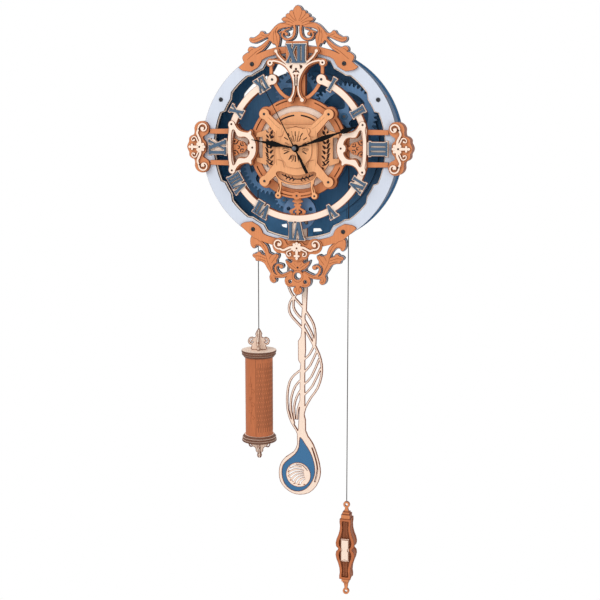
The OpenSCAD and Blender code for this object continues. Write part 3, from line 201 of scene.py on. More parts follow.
def new_material(name, rough=0.6, metallic=0.0):
    """A material under its own name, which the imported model's plain one gives up."""
    plain = bpy.data.materials.get(name)
    if plain:
        plain.name = name + "_plain"
    material = bpy.data.materials.new(name)
    material.use_nodes = True
    shader = material.node_tree.nodes["Principled BSDF"]
    shader.inputs["Roughness"].default_value = rough
    shader.inputs["Metallic"].default_value = metallic
    return material, material.node_tree, shader


def add(tree, kind, **values):
    """A shader node with its settings and its unlinked inputs."""
    node = tree.nodes.new(kind)
    for name, value in values.items():
        if hasattr(node, name):
            setattr(node, name, value)
        else:
            node.inputs[name.replace("_", " ")].default_value = value
    return node


def maths(tree, operation, a, b=None, clamp=False):
    node = tree.nodes.new("ShaderNodeMath")
    node.operation = operation
    node.use_clamp = clamp
    for socket, value in zip(node.inputs, (a, b)):
        if value is None:
            continue
        if isinstance(value, (int, float)):
            socket.default_value = value
        else:
            tree.links.new(value, socket)
    return node.outputs[0]


def mix(tree, factor, a, b):
    """Two colours or colour sockets mixed by a factor."""
    node = tree.nodes.new("ShaderNodeMix")
    node.data_type = "RGBA"
    for socket, value in zip((node.inputs["Factor"], node.inputs[6], node.inputs[7]), (factor, a, b)):
        if isinstance(value, bpy.types.NodeSocket):
            tree.links.new(value, socket)
        elif socket.name == "Factor":
            socket.default_value = value
        else:
            socket.default_value = (*value, 1)
    return node.outputs[2]


def shade(rgb, share):
    return [min(1, c * share) for c in rgb]


def noise(tree, scale, detail=3.0, stretch=(1, 1, 1), turn=(0, 0, 0), distortion=0.0):
    """Noise in the object's own place, finer where stretch is larger."""
    place = tree.nodes.new("ShaderNodeTexCoord")
    mapping = tree.nodes.new("ShaderNodeMapping")
    mapping.inputs["Scale"].default_value = stretch
    mapping.inputs["Rotation"].default_value = turn
    tree.links.new(place.outputs["Object"], mapping.inputs["Vector"])
    field = add(tree, "ShaderNodeTexNoise", Scale=scale, Detail=detail, Distortion=distortion)
    tree.links.new(mapping.outputs["Vector"], field.inputs["Vector"])
    return field.outputs["Fac"]


def spread(tree, value, low, high):
    """A value stretched so that low becomes 0 and high becomes 1."""
    node = tree.nodes.new("ShaderNodeMapRange")
    node.inputs["From Min"].default_value = low
    node.inputs["From Max"].default_value = high
    tree.links.new(value, node.inputs["Value"])
    return node.outputs["Result"]


def split(tree, kind):
    """The X, Y and Z of the object's own place, or of its normal."""
    place = tree.nodes.new("ShaderNodeTexCoord")
    parts = tree.nodes.new("ShaderNodeSeparateXYZ")
    tree.links.new(place.outputs[kind], parts.inputs[0])
    return parts.outputs


def cut_edge(tree, across):
    """1 on the cut edge of a ply that lies across an axis, 0 on its faces."""
    return maths(tree, "LESS_THAN", maths(tree, "ABSOLUTE", split(tree, "Normal")[across]), 0.7)


def burnt_line(tree, width):
    """1 at the sharp edges of a piece, fading to 0 within the burnt line's width."""
    bevel = add(tree, "ShaderNodeBevel", samples=8, Radius=width)
    true = tree.nodes.new("ShaderNodeNewGeometry")
    dot = tree.nodes.new("ShaderNodeVectorMath")
    dot.operation = "DOT_PRODUCT"
    tree.links.new(bevel.outputs["Normal"], dot.inputs[0])
    tree.links.new(true.outputs["True Normal"], dot.inputs[1])
    return spread(tree, dot.outputs["Value"], 0.999, 0.92)


def bump(tree, shader, height, strength, distance=0.0001):
    node = add(tree, "ShaderNodeBump", Strength=strength, Distance=distance)
    tree.links.new(height, node.inputs["Height"])
    tree.links.new(node.outputs["Normal"], shader.inputs["Normal"])


def plywood(name, face, edge, burnt, line_width, rough=0.62, figure=0.07, across="Y"):
    """Laser-cut plywood: grain along Z on the faces, layered and darker on the cut edges across an axis."""
    material, tree, shader = new_material(name, rough)
    grain = noise(tree, 60, 4, (14, 14, 0.9), (0, 0.06, 0), 0.6)
    cloud = noise(tree, 22, 2, (1, 1, 0.5))
    wood = mix(tree, spread(tree, grain, 0.32, 0.7), shade(face, 1 - figure), shade(face, 1 + figure * 0.6))
    wood = mix(tree, spread(tree, cloud, 0.35, 0.75), wood, shade(face, 1 - figure * 0.7))
    char = noise(tree, 420, 3, (1, 1, 1))
    cut = mix(tree, spread(tree, char, 0.3, 0.75), shade(edge, 0.72), shade(edge, 1.2))
    skin = wood
    if across:
        layer = maths(tree, "FRACT", maths(tree, "MULTIPLY", split(tree, "Object")[across], 1 / LAYER))
        cut = mix(tree, maths(tree, "GREATER_THAN", layer, 0.78), cut, shade(edge, 0.5))
        skin = mix(tree, cut_edge(tree, across), wood, cut)
    skin = mix(tree, burnt_line(tree, line_width), skin, burnt)
    tree.links.new(skin, shader.inputs["Base Color"])
    bump(tree, shader, grain, 0.25, 0.00006)
    return material


def cloudy(tree, shader, field, face, figure):
    """Colour a shader between a darker and a lighter shade of a face."""
    skin = mix(tree, spread(tree, field, 0.3, 0.7), shade(face, 1 - figure), shade(face, 1 + figure))
    tree.links.new(skin, shader.inputs["Base Color"])


def painted(name, face, rough, figure=0.05, sheen=0.5):
    """Matt paint, with the wood's grain faintly through it."""
    material, tree, shader = new_material(name, rough)
    shader.inputs["Specular IOR Level"].default_value = sheen
    grain = noise(tree, 70, 3, (9, 9, 1), (0, 0.1, 0))
    cloudy(tree, shader, grain, face, figure)
    bump(tree, shader, grain, 0.15, 0.00004)
    return material


def metal(name, face, rough, figure=0.12, metallic=1.0):
    """Brushed metal with a little wear."""
    material, tree, shader = new_material(name, rough, metallic)
    wear = noise(tree, 300, 3, (1, 4, 1))
    cloudy(tree, shader, wear, face, figure)
    tree.links.new(spread(tree, wear, -1.2, 2.6), shader.inputs["Roughness"])
    return material


def twisted_cord(name, face, pitch):
    """Strands that wind round a cord that hangs along Z, with painted shade between them."""
    material, tree, shader = new_material(name, 0.85)
    place, normal = split(tree, "Object"), split(tree, "Normal")
    angle = maths(tree, "ARCTAN2", normal["Y"], normal["X"])
    turns = maths(tree, "ADD", maths(tree, "MULTIPLY", place["Z"], 2 * math.pi / pitch), angle)
    strand_height_and_shade = maths(tree, "ABSOLUTE", maths(tree, "SINE", turns))
    # Darker in the grooves between the strands and lighter on their crowns: painted shade and painted highlight
    # of the twist.
    skin = mix(tree, spread(tree, strand_height_and_shade, 0.0, 0.7), shade(face, 0.45), shade(face, 1.15))
    tree.links.new(skin, shader.inputs["Base Color"])
    bump(tree, shader, strand_height_and_shade, 0.6, 0.0002)
    return material


def clock_materials():
    """Every finish by name. A slot of the record has the finish of its own name."""
    f = bpy.context.scene.clock_finishes
    width = bpy.context.scene.clock_details.burnt_width
    burnt, char = list(f.burnt), list(f.char)
    pale, orange, red = list(f.birch_pale), list(f.birch_orange), list(f.birch_red)
    edge_pale, edge_orange, edge_blue = list(f.edge_pale), list(f.edge_orange), list(f.edge_blue)
    # The handle's core is a darker copy of the red birch: painted shade of the deep slot that it shows in.
    slate, core = list(f.paint_slate), shade(red, 0.62)
    made = [
        plywood("birch_pale", pale, edge_pale, burnt, width, figure=0.05),
        plywood("plate_pale", pale, edge_pale, burnt, width * 0.5, figure=0.05),
        # A lighter copy of the pale birch for the trim ring: painted light against the shade that the front
        # ring casts on it.
        plywood("trim_pale_painted_light", shade(pale, 1.06), edge_blue, char, width * 0.7, figure=0.05),
        plywood("disc_pale", pale, shade(edge_pale, 0.5), burnt, width * 0.8, figure=0.08, across="Z"),
        plywood("round_pale", pale, edge_pale, burnt, width, figure=0.06, across=None),
        plywood("birch_orange", orange, edge_orange, burnt, width, figure=0.14),
        plywood("medal_orange", list(f.medal_orange), edge_orange, burnt, width * 0.8, figure=0.16),
        plywood("birch_red", red, shade(red, 0.6), burnt, width, figure=0.22),
        plywood("skin_red", red, red, burnt, width, figure=0.3, across=None),
        plywood("rod_pale", shade(pale, 0.97), edge_pale, list(f.engraved), width * 2, figure=0.05),
        plywood("cross_pale", shade(pale, 0.9), edge_pale, burnt, width * 2.4, figure=0.05, across=None),
        plywood("handle_core", core, core, char, width, figure=0.2, across=None),
        plywood("ply_grey", list(f.ply_grey), list(f.edge_grey), list(f.edge_grey), width),
        plywood("paint_blue", list(f.paint_blue), edge_blue, edge_blue, width, 0.5, 0.18),
        # Copies of the blue stain: lighter as painted light on the wheels and the pendulum's disc, darker as
        # painted shade on the side band.
        plywood("wheel_blue_painted_light", list(f.wheel_blue_painted_light), edge_blue, edge_blue, width, 0.5, 0.16),
        plywood("hub_blue_painted_light", list(f.hub_blue_painted_light), edge_blue, edge_blue, width, 0.5, 0.12),
        plywood("band_blue_painted_shade", list(f.band_blue_painted_shade), edge_blue, edge_blue, width, 0.5, 0.16, None),
        plywood("bob_blue", list(f.bob_blue), edge_blue, edge_blue, width * 0.8, 0.5, 0.08),
        plywood("paint_grey", list(f.paint_grey), edge_blue, burnt, width, 0.55, 0.04),
        plywood("paint_slate", slate, shade(slate, 0.5), edge_blue, width * 0.7, 0.5, 0.16),
        painted("paint_black", list(f.hands_black), 0.7, sheen=0.08),
        painted("plastic_black", linear(27, 27, 29), 0.5),
        painted("plastic_grey", linear(138, 138, 142), 0.45),
        painted("engraved", list(f.engraved), 0.8, 0.25, 0.2),
        painted("char", char, 0.8, 0.3, 0.2),
        painted("pale_burn", edge_pale, 0.8, 0.3, 0.2),
        metal("metal_cell", linear(185, 163, 106), 0.35),
        metal("steel", list(f.steel), 0.35, metallic=0.6),
        metal("steel_dark", list(f.screw_dark), 0.45, metallic=0.3),
        twisted_cord("cord", list(f.cord), 2.2 * MM),
    ]
    return {material.name: material for material in made}


# Nodes whose finish is finer than their slot's; some of these finishes are lighter or darker copies that carry
# painted light or shade
FINISH_OF = {
    "numeral_ring": "plate_pale", "trim_ring": "trim_pale_painted_light", "badge": "medal_orange",
    "badge_shield": "medal_orange", "laurel_wings": "medal_orange", "weight_tube": "skin_red",
    "great_wheel": "wheel_blue_painted_light", "second_wheel": "wheel_blue_painted_light", "third_wheel": "wheel_blue_painted_light",
    "lower_wheel": "wheel_blue_painted_light", "escape_pinions": "wheel_blue_painted_light", "pendulum_hub": "hub_blue_painted_light",
    "pendulum_rod": "rod_pale", "side_band": "band_blue_painted_shade", "bob_inlay": "bob_blue",
    "weight_caps": "disc_pale", "weight_finials": "round_pale",
}


# Mesh building blocks

SHARP = math.radians(40)
TINY = 1e-6


def skin_over(shape, rings, smooth=False):
    """Walls between rings of as many corners, and a cap on each end."""
    for low, high in zip(rings, rings[1:]):
        for k in range(len(low)):
            n = (k + 1) % len(low)
            shape.faces.new((low[k], low[n], high[n], high[k])).smooth = smooth
    shape.faces.new(rings[0][::-1])
    shape.faces.new(rings[-1])


def tube_mesh(name, points, radius, sides=12):
    """A round tube along points, closed at both ends."""
    mesh = bpy.data.meshes.new(name)
    shape = bmesh.new()
    rings = []
    for i, point in enumerate(points):
        along = (points[min(i + 1, len(points) - 1)] - points[max(i - 1, 0)]).normalized()
        across = along.cross(Vector((0, 1, 0))).normalized()
        over = along.cross(across).normalized()
        rings.append(
            [
                shape.verts.new(point + radius * (math.cos(t) * across + math.sin(t) * over))
                for t in (2 * math.pi * k / sides for k in range(sides))
            ]
        )
    skin_over(shape, rings, True)
    bmesh.ops.recalc_face_normals(shape, faces=shape.faces)
    shape.to_mesh(mesh)
    shape.free()
    return mesh


def ribbon(shape, points, width, y, deep=0.12, thin=0.35):
    """An engraved line on a face that looks to the front: points are (x, z) in millimetres, y is the face."""
    count = len(points)
    sections = []
    for i, (x, z) in enumerate(points):
        before, after = points[max(i - 1, 0)], points[min(i + 1, count - 1)]
        run = Vector((after[0] - before[0], after[1] - before[1])).normalized()
        share = min(1.0, thin + min(i, count - 1 - i) * 0.5)
        half = width * share / 2
        side = (-run.y * half, run.x * half)
        sections.append(
            [
                shape.verts.new(at(x + s * side[0], z + s * side[1], y + d))
                for s, d in ((-1, -0.04), (1, -0.04), (1, deep), (-1, deep))
            ]
        )
    skin_over(shape, sections)


def smooth_line(points, steps=4):
    """A smooth run through points in the plane."""
    out = []
    for i in range(len(points) - 1):
        p = [Vector(points[max(0, min(len(points) - 1, k))]) for k in (i - 1, i, i + 1, i + 2)]
        for j in range(steps):
            t = j / steps
            out.append(
                0.5
                * (
                    2 * p[1]
                    + (p[2] - p[0]) * t
                    + (2 * p[0] - 5 * p[1] + 4 * p[2] - p[3]) * t * t
                    + (3 * p[1] - p[0] - 3 * p[2] + p[3]) * t**3
                )
            )
    out.append(Vector(points[-1]))
    return [(v.x, v.y) for v in out]


def both_sides(lines):
    return [*lines, *[[(-x, z) for x, z in line] for line in lines]]


def as_piece(name, shape, finish, body, replaced=()):
    """A piece from a finished shape, riding on a body in place of the nodes that it replaces."""
    mesh = bpy.data.meshes.new(name)
    bmesh.ops.recalc_face_normals(shape, faces=shape.faces)
    for edge in shape.edges:
        if len(edge.link_faces) == 2 and edge.calc_face_angle(0) > SHARP:
            edge.smooth = False
    shape.to_mesh(mesh)
    shape.free()
    piece = bpy.data.objects.new(name, mesh)
    bpy.context.scene.collection.objects.link(piece)
    mesh.materials.append(bpy.data.materials[finish])
    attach(piece, body)
    for node in replaced:
        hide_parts(node)
    return piece


def engraving(name, lines, y, width=None):
    """Engraved lines on one face of the frame, as one piece."""
    shape = bmesh.new()
    width = width or bpy.context.scene.clock_details.vein_width / MM
    for line in lines:
        ribbon(shape, smooth_line(line), width, y)
    as_piece(name, shape, "engraved", "frame")


def turned_shape(shape, place, profile, sides=24, lobes=None):
    """A turned form about an axis along Y. The profile gives (radius, y) in metres, front to back."""
    rings = []
    for i, (radius, y) in enumerate(profile):
        if radius == 0:
            rings.append([shape.verts.new(place + Vector((0, y, 0)))])
            continue
        ring = []
        for k in range(sides):
            turn = 2 * math.pi * k / sides
            reach = radius * (1 + (lobes or {}).get(i, 0) * math.cos(4 * turn))
            ring.append(shape.verts.new(place + Vector((reach * math.cos(turn), y, reach * math.sin(turn)))))
        rings.append(ring)
    for front, back in zip(rings, rings[1:]):
        for k in range(sides):
            n = (k + 1) % sides
            if len(front) == 1:
                face = shape.faces.new((front[0], back[k], back[n]))
            elif len(back) == 1:
                face = shape.faces.new((front[n], front[k], back[0]))
            else:
                face = shape.faces.new((front[k], front[n], back[n], back[k]))
            face.smooth = True


def lathe(shape, middle, profile, sides=72):
    """A turned form about an upright axis. The profile gives (radius, z) in metres, end to end."""
    turns = [2 * math.pi * k / sides for k in range(sides)]
    rings = [
        [shape.verts.new((middle.x + r * math.cos(t), middle.y + r * math.sin(t), z)) for t in turns]
        for r, z in profile
    ]
    skin_over(shape, rings, True)


# Drawings of flat pieces: each gives how far a point (x, z) lies outside the piece, in millimetres


def disc(x, z, radius):
    return lambda px, pz: math.hypot(px - x, pz - z) - radius


def to_line(px, pz, a, b):
    """How far a point is from a line between two others, and how far along the line."""
    dx, dz = b[0] - a[0], b[1] - a[1]
    t = ((px - a[0]) * dx + (pz - a[1]) * dz) / (dx * dx + dz * dz or 1)
    t = max(0.0, min(1.0, t))
    return math.hypot(px - a[0] - t * dx, pz - a[1] - t * dz), t


def bar(points, wide, narrow=None):
    """A stroke through points, with the two widths at its ends."""
    narrow = wide if narrow is None else narrow
    count = len(points) - 1

    def reach(px, pz):
        best = 1e9
        for i in range(count):
            gap, t = to_line(px, pz, points[i], points[i + 1])
            best = min(best, gap - (wide + (narrow - wide) * (i + t) / count) / 2)
        return best

    return reach


def polygon(points):
    pairs = list(zip(points, [*points[1:], points[0]]))

    def reach(px, pz):
        gap, inside = 1e9, False
        for a, b in pairs:
            gap = min(gap, to_line(px, pz, a, b)[0])
            if (a[1] > pz) != (b[1] > pz) and px < a[0] + (pz - a[1]) / (b[1] - a[1]) * (b[0] - a[0]):
                inside = not inside
        return -gap if inside else gap

    return reach


def folded(points):
    """Points of the upper half of an outline, with their mirror images below."""
    return [*points, *[(x, -z) for x, z in points[::-1] if z]]


def rounded(points, steps=4):
    """A closed outline with its corners drawn smooth."""
    ring = [points[-1], *points, points[0], points[1]]
    line = smooth_line(ring, steps)
    return line[steps : steps * (len(points) + 1)]


def joined(*drawings):
    return lambda x, z: min(d(x, z) for d in drawings)


def cut(drawing, *holes):
    return lambda x, z: max(drawing(x, z), -min(h(x, z) for h in holes))


def grown(drawing, more):
    return lambda x, z: drawing(x, z) - more


def common(*drawings):
    return lambda x, z: max(d(x, z) for d in drawings)


def right_of(drawing, edge):
    return common(drawing, lambda x, z: edge - x)


def cut_ply(shape, drawing, box, front, back, step=0.4, place=at):
    """Add a flat piece with straight walls to a mesh: box is (left, low, right, high) of its drawing."""
    left, low, right, high = box
    columns, rows = math.ceil((right - left) / step), math.ceil((high - low) / step)
    spots = {(i, j): (left + i * step, low + j * step) for i in range(columns + 1) for j in range(rows + 1)}
    reach = {key: drawing(*spot) or TINY for key, spot in spots.items()}
    sheet = bmesh.new()
    made = {}

    def corner(key, x, z):
        if key not in made:
            made[key] = sheet.verts.new(place(x, z, front))
        return made[key]

    for i in range(columns):
        for j in range(rows):
            cell = ((i, j), (i + 1, j), (i + 1, j + 1), (i, j + 1))
            loop = []
            for a, b in zip(cell, cell[1:] + cell[:1]):
                if reach[a] < 0:
                    loop.append(corner(a, *spots[a]))
                if (reach[a] < 0) != (reach[b] < 0):
                    t = reach[a] / (reach[a] - reach[b])
                    (ax, az), (bx, bz) = spots[a], spots[b]
                    loop.append(corner(frozenset((a, b)), ax + t * (bx - ax), az + t * (bz - az)))
            if len(loop) > 2:
                sheet.faces.new(loop)
    bmesh.ops.dissolve_limit(sheet, angle_limit=0.01, verts=sheet.verts[:], edges=sheet.edges[:])
    pulled = bmesh.ops.extrude_face_region(sheet, geom=sheet.faces[:], use_keep_orig=True)
    moved = [v for v in pulled["geom"] if isinstance(v, bmesh.types.BMVert)]
    bmesh.ops.translate(sheet, verts=moved, vec=place(0, 0, back) - place(0, 0, front))
    bmesh.ops.recalc_face_normals(sheet, faces=sheet.faces)
    mesh = bpy.data.meshes.new("sheet")
    sheet.to_mesh(mesh)
    sheet.free()
    shape.from_mesh(mesh)
    bpy.data.meshes.remove(mesh)


def outline_ply(shape, points, front, back, place=at):
    """Add a flat piece without holes to a mesh, straight from its outline."""
    skin_over(shape, [[shape.verts.new(place(x, z, y)) for x, z in points] for y in (front, back)])


def flip(x, z, y):
    """The mirror image of a place on the right side."""
    return at(-x, z, y)


def ply_piece(name, cuts, finish, body, replaced=()):
    """One piece of flat plies: each cut holds what outline_ply takes, or else what cut_ply takes."""
    shape = bmesh.new()
    for drawing, *rest in cuts:
        make = outline_ply if isinstance(drawing, list) else cut_ply
        make(shape, drawing, *rest)
    as_piece(name, shape, finish, body, replaced)


# Stage, camera and light


def shown_rays(tree):
    """1 for the rays that show the background: to the camera, in reflections and through glass."""
    rays = tree.nodes.new("ShaderNodeLightPath")
    shown = maths(tree, "MAXIMUM", rays.outputs["Is Camera Ray"], rays.outputs["Is Glossy Ray"])
    return maths(tree, "MAXIMUM", shown, rays.outputs["Is Transmission Ray"])


def pale_floor():
    """White to the camera and in reflections, and a plain pale surface to the rest of the light."""
    material, tree, shader = new_material("studio_floor", 0.9)
    shader.inputs["Base Color"].default_value = (0.86, 0.86, 0.86, 1)
    white = add(tree, "ShaderNodeEmission", Strength=1.0)
    blend = tree.nodes.new("ShaderNodeMixShader")
    tree.links.new(maths(tree, "MULTIPLY", shown_rays(tree), 0.7), blend.inputs[0])
    tree.links.new(shader.outputs[0], blend.inputs[1])
    tree.links.new(white.outputs[0], blend.inputs[2])
    tree.links.new(blend.outputs[0], tree.nodes["Material Output"].inputs["Surface"])
    return material


def white_world(sky):
    world = bpy.data.worlds.new("studio")
    bpy.context.scene.world = world
    world.use_nodes = True
    tree = world.node_tree
    lit = tree.nodes["Background"]
    lit.inputs["Color"].default_value = (1, 1, 1, 1)
    lit.inputs["Strength"].default_value = sky
    seen = tree.nodes.new("ShaderNodeBackground")
    seen.inputs["Color"].default_value = (1, 1, 1, 1)
    seen.inputs["Strength"].default_value = 1.0
    blend = tree.nodes.new("ShaderNodeMixShader")
    tree.links.new(shown_rays(tree), blend.inputs[0])
    tree.links.new(lit.outputs[0], blend.inputs[1])
    tree.links.new(seen.outputs[0], blend.inputs[2])
    tree.links.new(blend.outputs[0], tree.nodes["World Output"].inputs["Surface"])


def aim(thing, place, target):
    thing.location = place
    thing.rotation_mode = "QUATERNION"
    thing.rotation_quaternion = (Vector(target) - Vector(place)).to_track_quat("-Z", "Y")
    bpy.context.scene.collection.objects.link(thing)


def lamp(name, place, target, size, watts):
    data = bpy.data.lights.new(name, "AREA")
    data.energy = watts
    data.size = size
    aim(bpy.data.objects.new(name, data), place, target)


class CLOCK_OT_stage(bpy.types.Operator):
    """Put the clock in a white studio with the camera a little to its right"""

    bl_idname = "clock.stage"
    bl_label = "Studio"

    def execute(self, context):
        view = context.scene.clock_view
        camera = bpy.data.objects.new("camera", bpy.data.cameras.new("camera"))
        camera.data.lens = view.lens
        camera.data.sensor_width = 36
        camera.data.clip_start = 0.05
        aim(camera, view.camera_at, view.camera_target)
        context.scene.camera = camera
        context.scene.view_settings.view_transform = "Standard"
        white_world(view.sky)
        middle = (CAD_BOX[0] + CAD_BOX[1]) / 2
        lamp("key", middle + Vector((-0.9, -1.5, 1.1)), middle, 1.2, view.key)
        lamp("fill", middle + Vector((1.2, -1.4, -0.1)), middle, 1.4, view.fill)
        half = 1.6
        floor = bpy.data.meshes.new("floor")
        low = CAD_BOX[0].z - view.floor_drop
        corners = [(-half, -half, low), (half, -half, low), (half, half, low), (-half, half, low)]
        floor.from_pydata(corners, [], [(0, 1, 2, 3)])
        floor.materials.append(pale_floor())
        ground = bpy.data.objects.new("floor", floor)
        context.scene.collection.objects.link(ground)
        return {"FINISHED"}


# Cords


def hanging_cord(name, node, material, details):
    """A cord from the pulley's side down to what hangs on it."""
    low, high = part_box(node)
    x, y = (low.x + high.x) / 2, (low.y + high.y) / 2
    steps = details.cord_steps
    points = [Vector((x, y, high.z + (low.z - high.z) * i / steps)) for i in range(steps + 1)]
    mesh = tube_mesh(name, points, details.cord_diameter / 2)
    piece = bpy.data.objects.new(name, mesh)
    bpy.context.scene.collection.objects.link(piece)
    mesh.materials.append(material)
    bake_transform(piece)
    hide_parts(node)


class CLOCK_OT_cords(bpy.types.Operator):
    """Hang the weight and the handle on their twisted cords"""

    bl_idname = "clock.cords"
    bl_label = "Cords"

    def execute(self, context):
        details = context.scene.clock_details
        material = bpy.data.materials["cord"]
        hanging_cord("cord_of_weight", "weight_cord", material, details)
        hanging_cord("cord_of_handle", "handle_cord", material, details)
        return {"FINISHED"}


class CLOCK_OT_finishes(bpy.types.Operator):
    """Give every ply, hand, stud and case its finish"""

    bl_idname = "clock.finishes"
    bl_label = "Finishes"

    def execute(self, context):
        materials = clock_materials()
        for part in frame["record"]["subparts"]:
            piece = frame["nodes"][part["node"]]
            piece.data.materials.clear()
            piece.data.materials.append(materials[FINISH_OF.get(part["node"], part["material_slot"])])
        return {"FINISHED"}


# Fasteners


# Places at the right, face, radius of the head, radius of the shank and depth of its end
SCREWS = (
    (((100, 58.6),), 0, 2.8, 1.1, 3),
    (((58.2, 101.8), (58.2, -102.5)), CREST_FACE, 2.8, 1.1, 3),
    (((40.8, 41.2), (40.8, -41.2)), BADGE_FACE, 1.6, 1, 1.8),
    (((23.2, -58.6),), BADGE_FACE, 1.3, 0.9, 1.8),
    (((31, 83),), PLATE_FACE, 1.6, 1, 2),
)


def screw(shape, x, z, face, radius, shank, end):
    """A domed head with a crossed recess over its shank, from the face back to the end."""
    r, s = radius * MM, shank * MM
    high = 0.62 * r
    profile = (
        (0, -0.25 * high), (0.16 * r, -0.25 * high), (0.3 * r, -0.96 * high), (0.42 * r, -high),
        (0.7 * r, -0.84 * high), (0.92 * r, -0.45 * high), (r, -0.06 * high), (r, 0), (s, 0),
        (s, (end - face) * MM), (0, (end - face) * MM),
    )
    turned_shape(shape, at(x, z, face), profile, 24, {1: 0.3, 2: 0.45})


class CLOCK_OT_screws(bpy.types.Operator):
    """Put domed screws with a crossed recess in the ring, the plates, the dial and the medallion"""

    bl_idname = "clock.screws"
    bl_label = "Screws"

    def execute(self, context):
        shape = bmesh.new()
        for places, face, *sizes in SCREWS:
            for x, z in places:
                screw(shape, x, z, face, *sizes)
                screw(shape, -x, z, face, *sizes)
        screw(shape, 0, -58.8, PLATE_FACE, 1.3, 0.9, -5.4)
        as_piece("screw_set", shape, "steel_dark", "frame", ["screws"])
        return {"FINISHED"}


class CLOCK_OT_cap(bpy.types.Operator):
    """Put the domed steel cap on the hub of the second hand"""

    bl_idname = "clock.cap"
    bl_label = "Hand cap"

    def execute(self, context):
        shape = bmesh.new()
        r, dome, foot = 2.85 * MM, 1.15 * MM, 0.9 * MM
        turns = [math.pi / 12 * k for k in range(1, 7)]
        profile = [(0, -dome), *[(r * math.sin(t), -dome * math.cos(t)) for t in turns]]
        profile += [(r, 0.5 * MM), (r * 0.97, foot), (0, foot)]
        turned_shape(shape, at(0, 0, -20.3), profile, 32)
        as_piece("hand_cap", shape, "steel", "seconds")
        return {"FINISHED"}


# Engraving


CREST_LINES = [
    [(5.7, 165.0), (4.5, 160.4), (2.9, 156.4), (1.3, 153.0)],
    [(10.4, 161.6), (7.8, 158.2), (5.0, 155.2), (2.4, 152.6)],
    [(14.6, 157.5), (11.2, 156.0), (7.6, 153.8), (3.9, 151.4)],
    [(18.4, 153.2), (14.0, 152.9), (9.4, 151.8), (5.6, 149.9)],
    [(20.6, 150.4), (13.6, 149.4), (8.0, 147.8), (4.6, 147.2)],
    [(5.6, 146.4), (5.0, 143.2), (5.6, 139.8), (7.4, 136.8), (10.6, 134.8)],
    [(27.2, 144.4), (27.6, 139.0), (26.4, 133.0), (25.4, 125.6)],
    [(29.4, 142.2), (30.6, 137.0), (30.4, 132.4), (29.6, 127.6)],
    [(24.8, 146.2), (27.4, 142.6), (28.6, 138.4)],
    [(33.6, 140.2), (37.4, 135.8), (42.2, 135.6), (46.4, 137.4)],
    [(44.4, 134.4), (50.0, 132.2), (55.4, 130.6), (59.6, 131.4)],
    [(36.4, 130.6), (39.4, 125.6), (45.4, 121.0), (52.6, 116.6), (59.4, 111.0), (64.4, 106.8)],
    [(56.6, 119.8), (60.0, 118.4), (62.2, 115.2)],
]
DROP_LINES = [
    [(2.4, -150.6), (7.6, -146.8), (10.6, -144.8), (13.4, -142.4)],
    [(4.6, -152.6), (9.8, -149.0), (13.6, -145.0)],
    [(5.4, -144.0), (2.4, -147.2)],
    [(58.6, -113.4), (52.8, -114.9), (47.0, -119.8), (43.2, -125.2), (40.9, -130.8)],
    [(57.4, -124.0), (52.6, -121.4), (47.2, -124.0)],
    [(41.8, -134.4), (40.4, -139.6), (38.6, -144.8), (35.4, -151.4), (33.2, -157.6)],
    [(41.6, -139.4), (46.4, -137.6), (51.2, -136.2), (57.6, -136.8)],
    [(41.0, -143.0), (46.6, -140.9), (52.0, -140.2)],
    [(34.2, -144.8), (31.4, -141.0), (28.6, -137.2), (26.8, -133.4)],
    [(37.2, -140.2), (35.4, -136.4), (33.2, -133.9)],
    [(8.2, -154.6), (14.4, -158.2), (20.8, -160.7), (27.4, -161.6), (32.0, -160.6)],
    [(33.8, -162.0), (33.6, -165.6), (31.6, -167.6), (30.6, -166.2)],
    [(15.2, -166.8), (13.4, -170.6), (9.2, -172.2), (5.4, -171.4)],
    [(3.6, -181.4), (1.6, -178.6), (2.0, -175.2), (3.8, -173.6)],
]
OVAL_LINE = [
    [(7.0 * math.sin(2 * math.pi * k / 16), -160.2 + 7.6 * math.cos(2 * math.pi * k / 16)) for k in range(17)]
]
BADGE_LINES = [
    [(-19.6, 26.9), (0, 26.9), (19.6, 26.9)],
    [(24.6, 21.4), (25.6, 12.0), (25.9, 0), (25.6, -12.0), (24.4, -22.4)],
    [(20.4, 23.8), (24.2, 26.0), (30.6, 32.4), (36.0, 37.6)],
]


FAN_CUTS = (
    [(-0.6, 15.0), (-0.6, 20.4)], [(5.6, 13.6), (8.8, 18.6)], [(-8.0, 14.8), (-9.8, 18.4)],
    [(-9.8, 10.2), (-14.6, 13.0)], [(9.6, 10.0), (14.4, 13.2)], [(-9.6, -4.0), (-15.2, -7.2)],
    [(9.0, -3.8), (13.6, -7.2)], [(-5.6, -8.6), (-8.8, -14.4)], [(-0.6, -9.2), (-0.6, -16.8)],
    [(4.4, -9.4), (8.2, -15.6)],
)
FAN_DOTS = (
    ((-5.2, 20.2), (-3.2, 11.4)), ((4.4, 20.2), (2.0, 11.4)), ((-17.0, 3.4), (-8.8, 2.8)),
    ((-17.0, -1.4), (-8.8, 0.0)), ((16.6, 3.4), (8.8, 2.8)), ((16.2, 8.2), (8.4, 5.6)),
    ((16.2, -2.0), (8.4, -0.2)), ((-5.0, -16.8), (-3.0, -7.6)), ((4.0, -17.0), (1.8, -8.0)),
)
SHIELD_EDGE = [
    [(-13.6, 24.1), (-15.1, 20.2), (-17.1, 14.9), (-22.8, 13.5)],
    [(-23.7, -14.2), (-17.2, -15.7), (-15.6, -20), (-14.6, -24.1)],
    [(-12.6, 24.6), (-4, 25.0), (0, 26.4), (4, 25.0), (12.6, 24.6)],
]
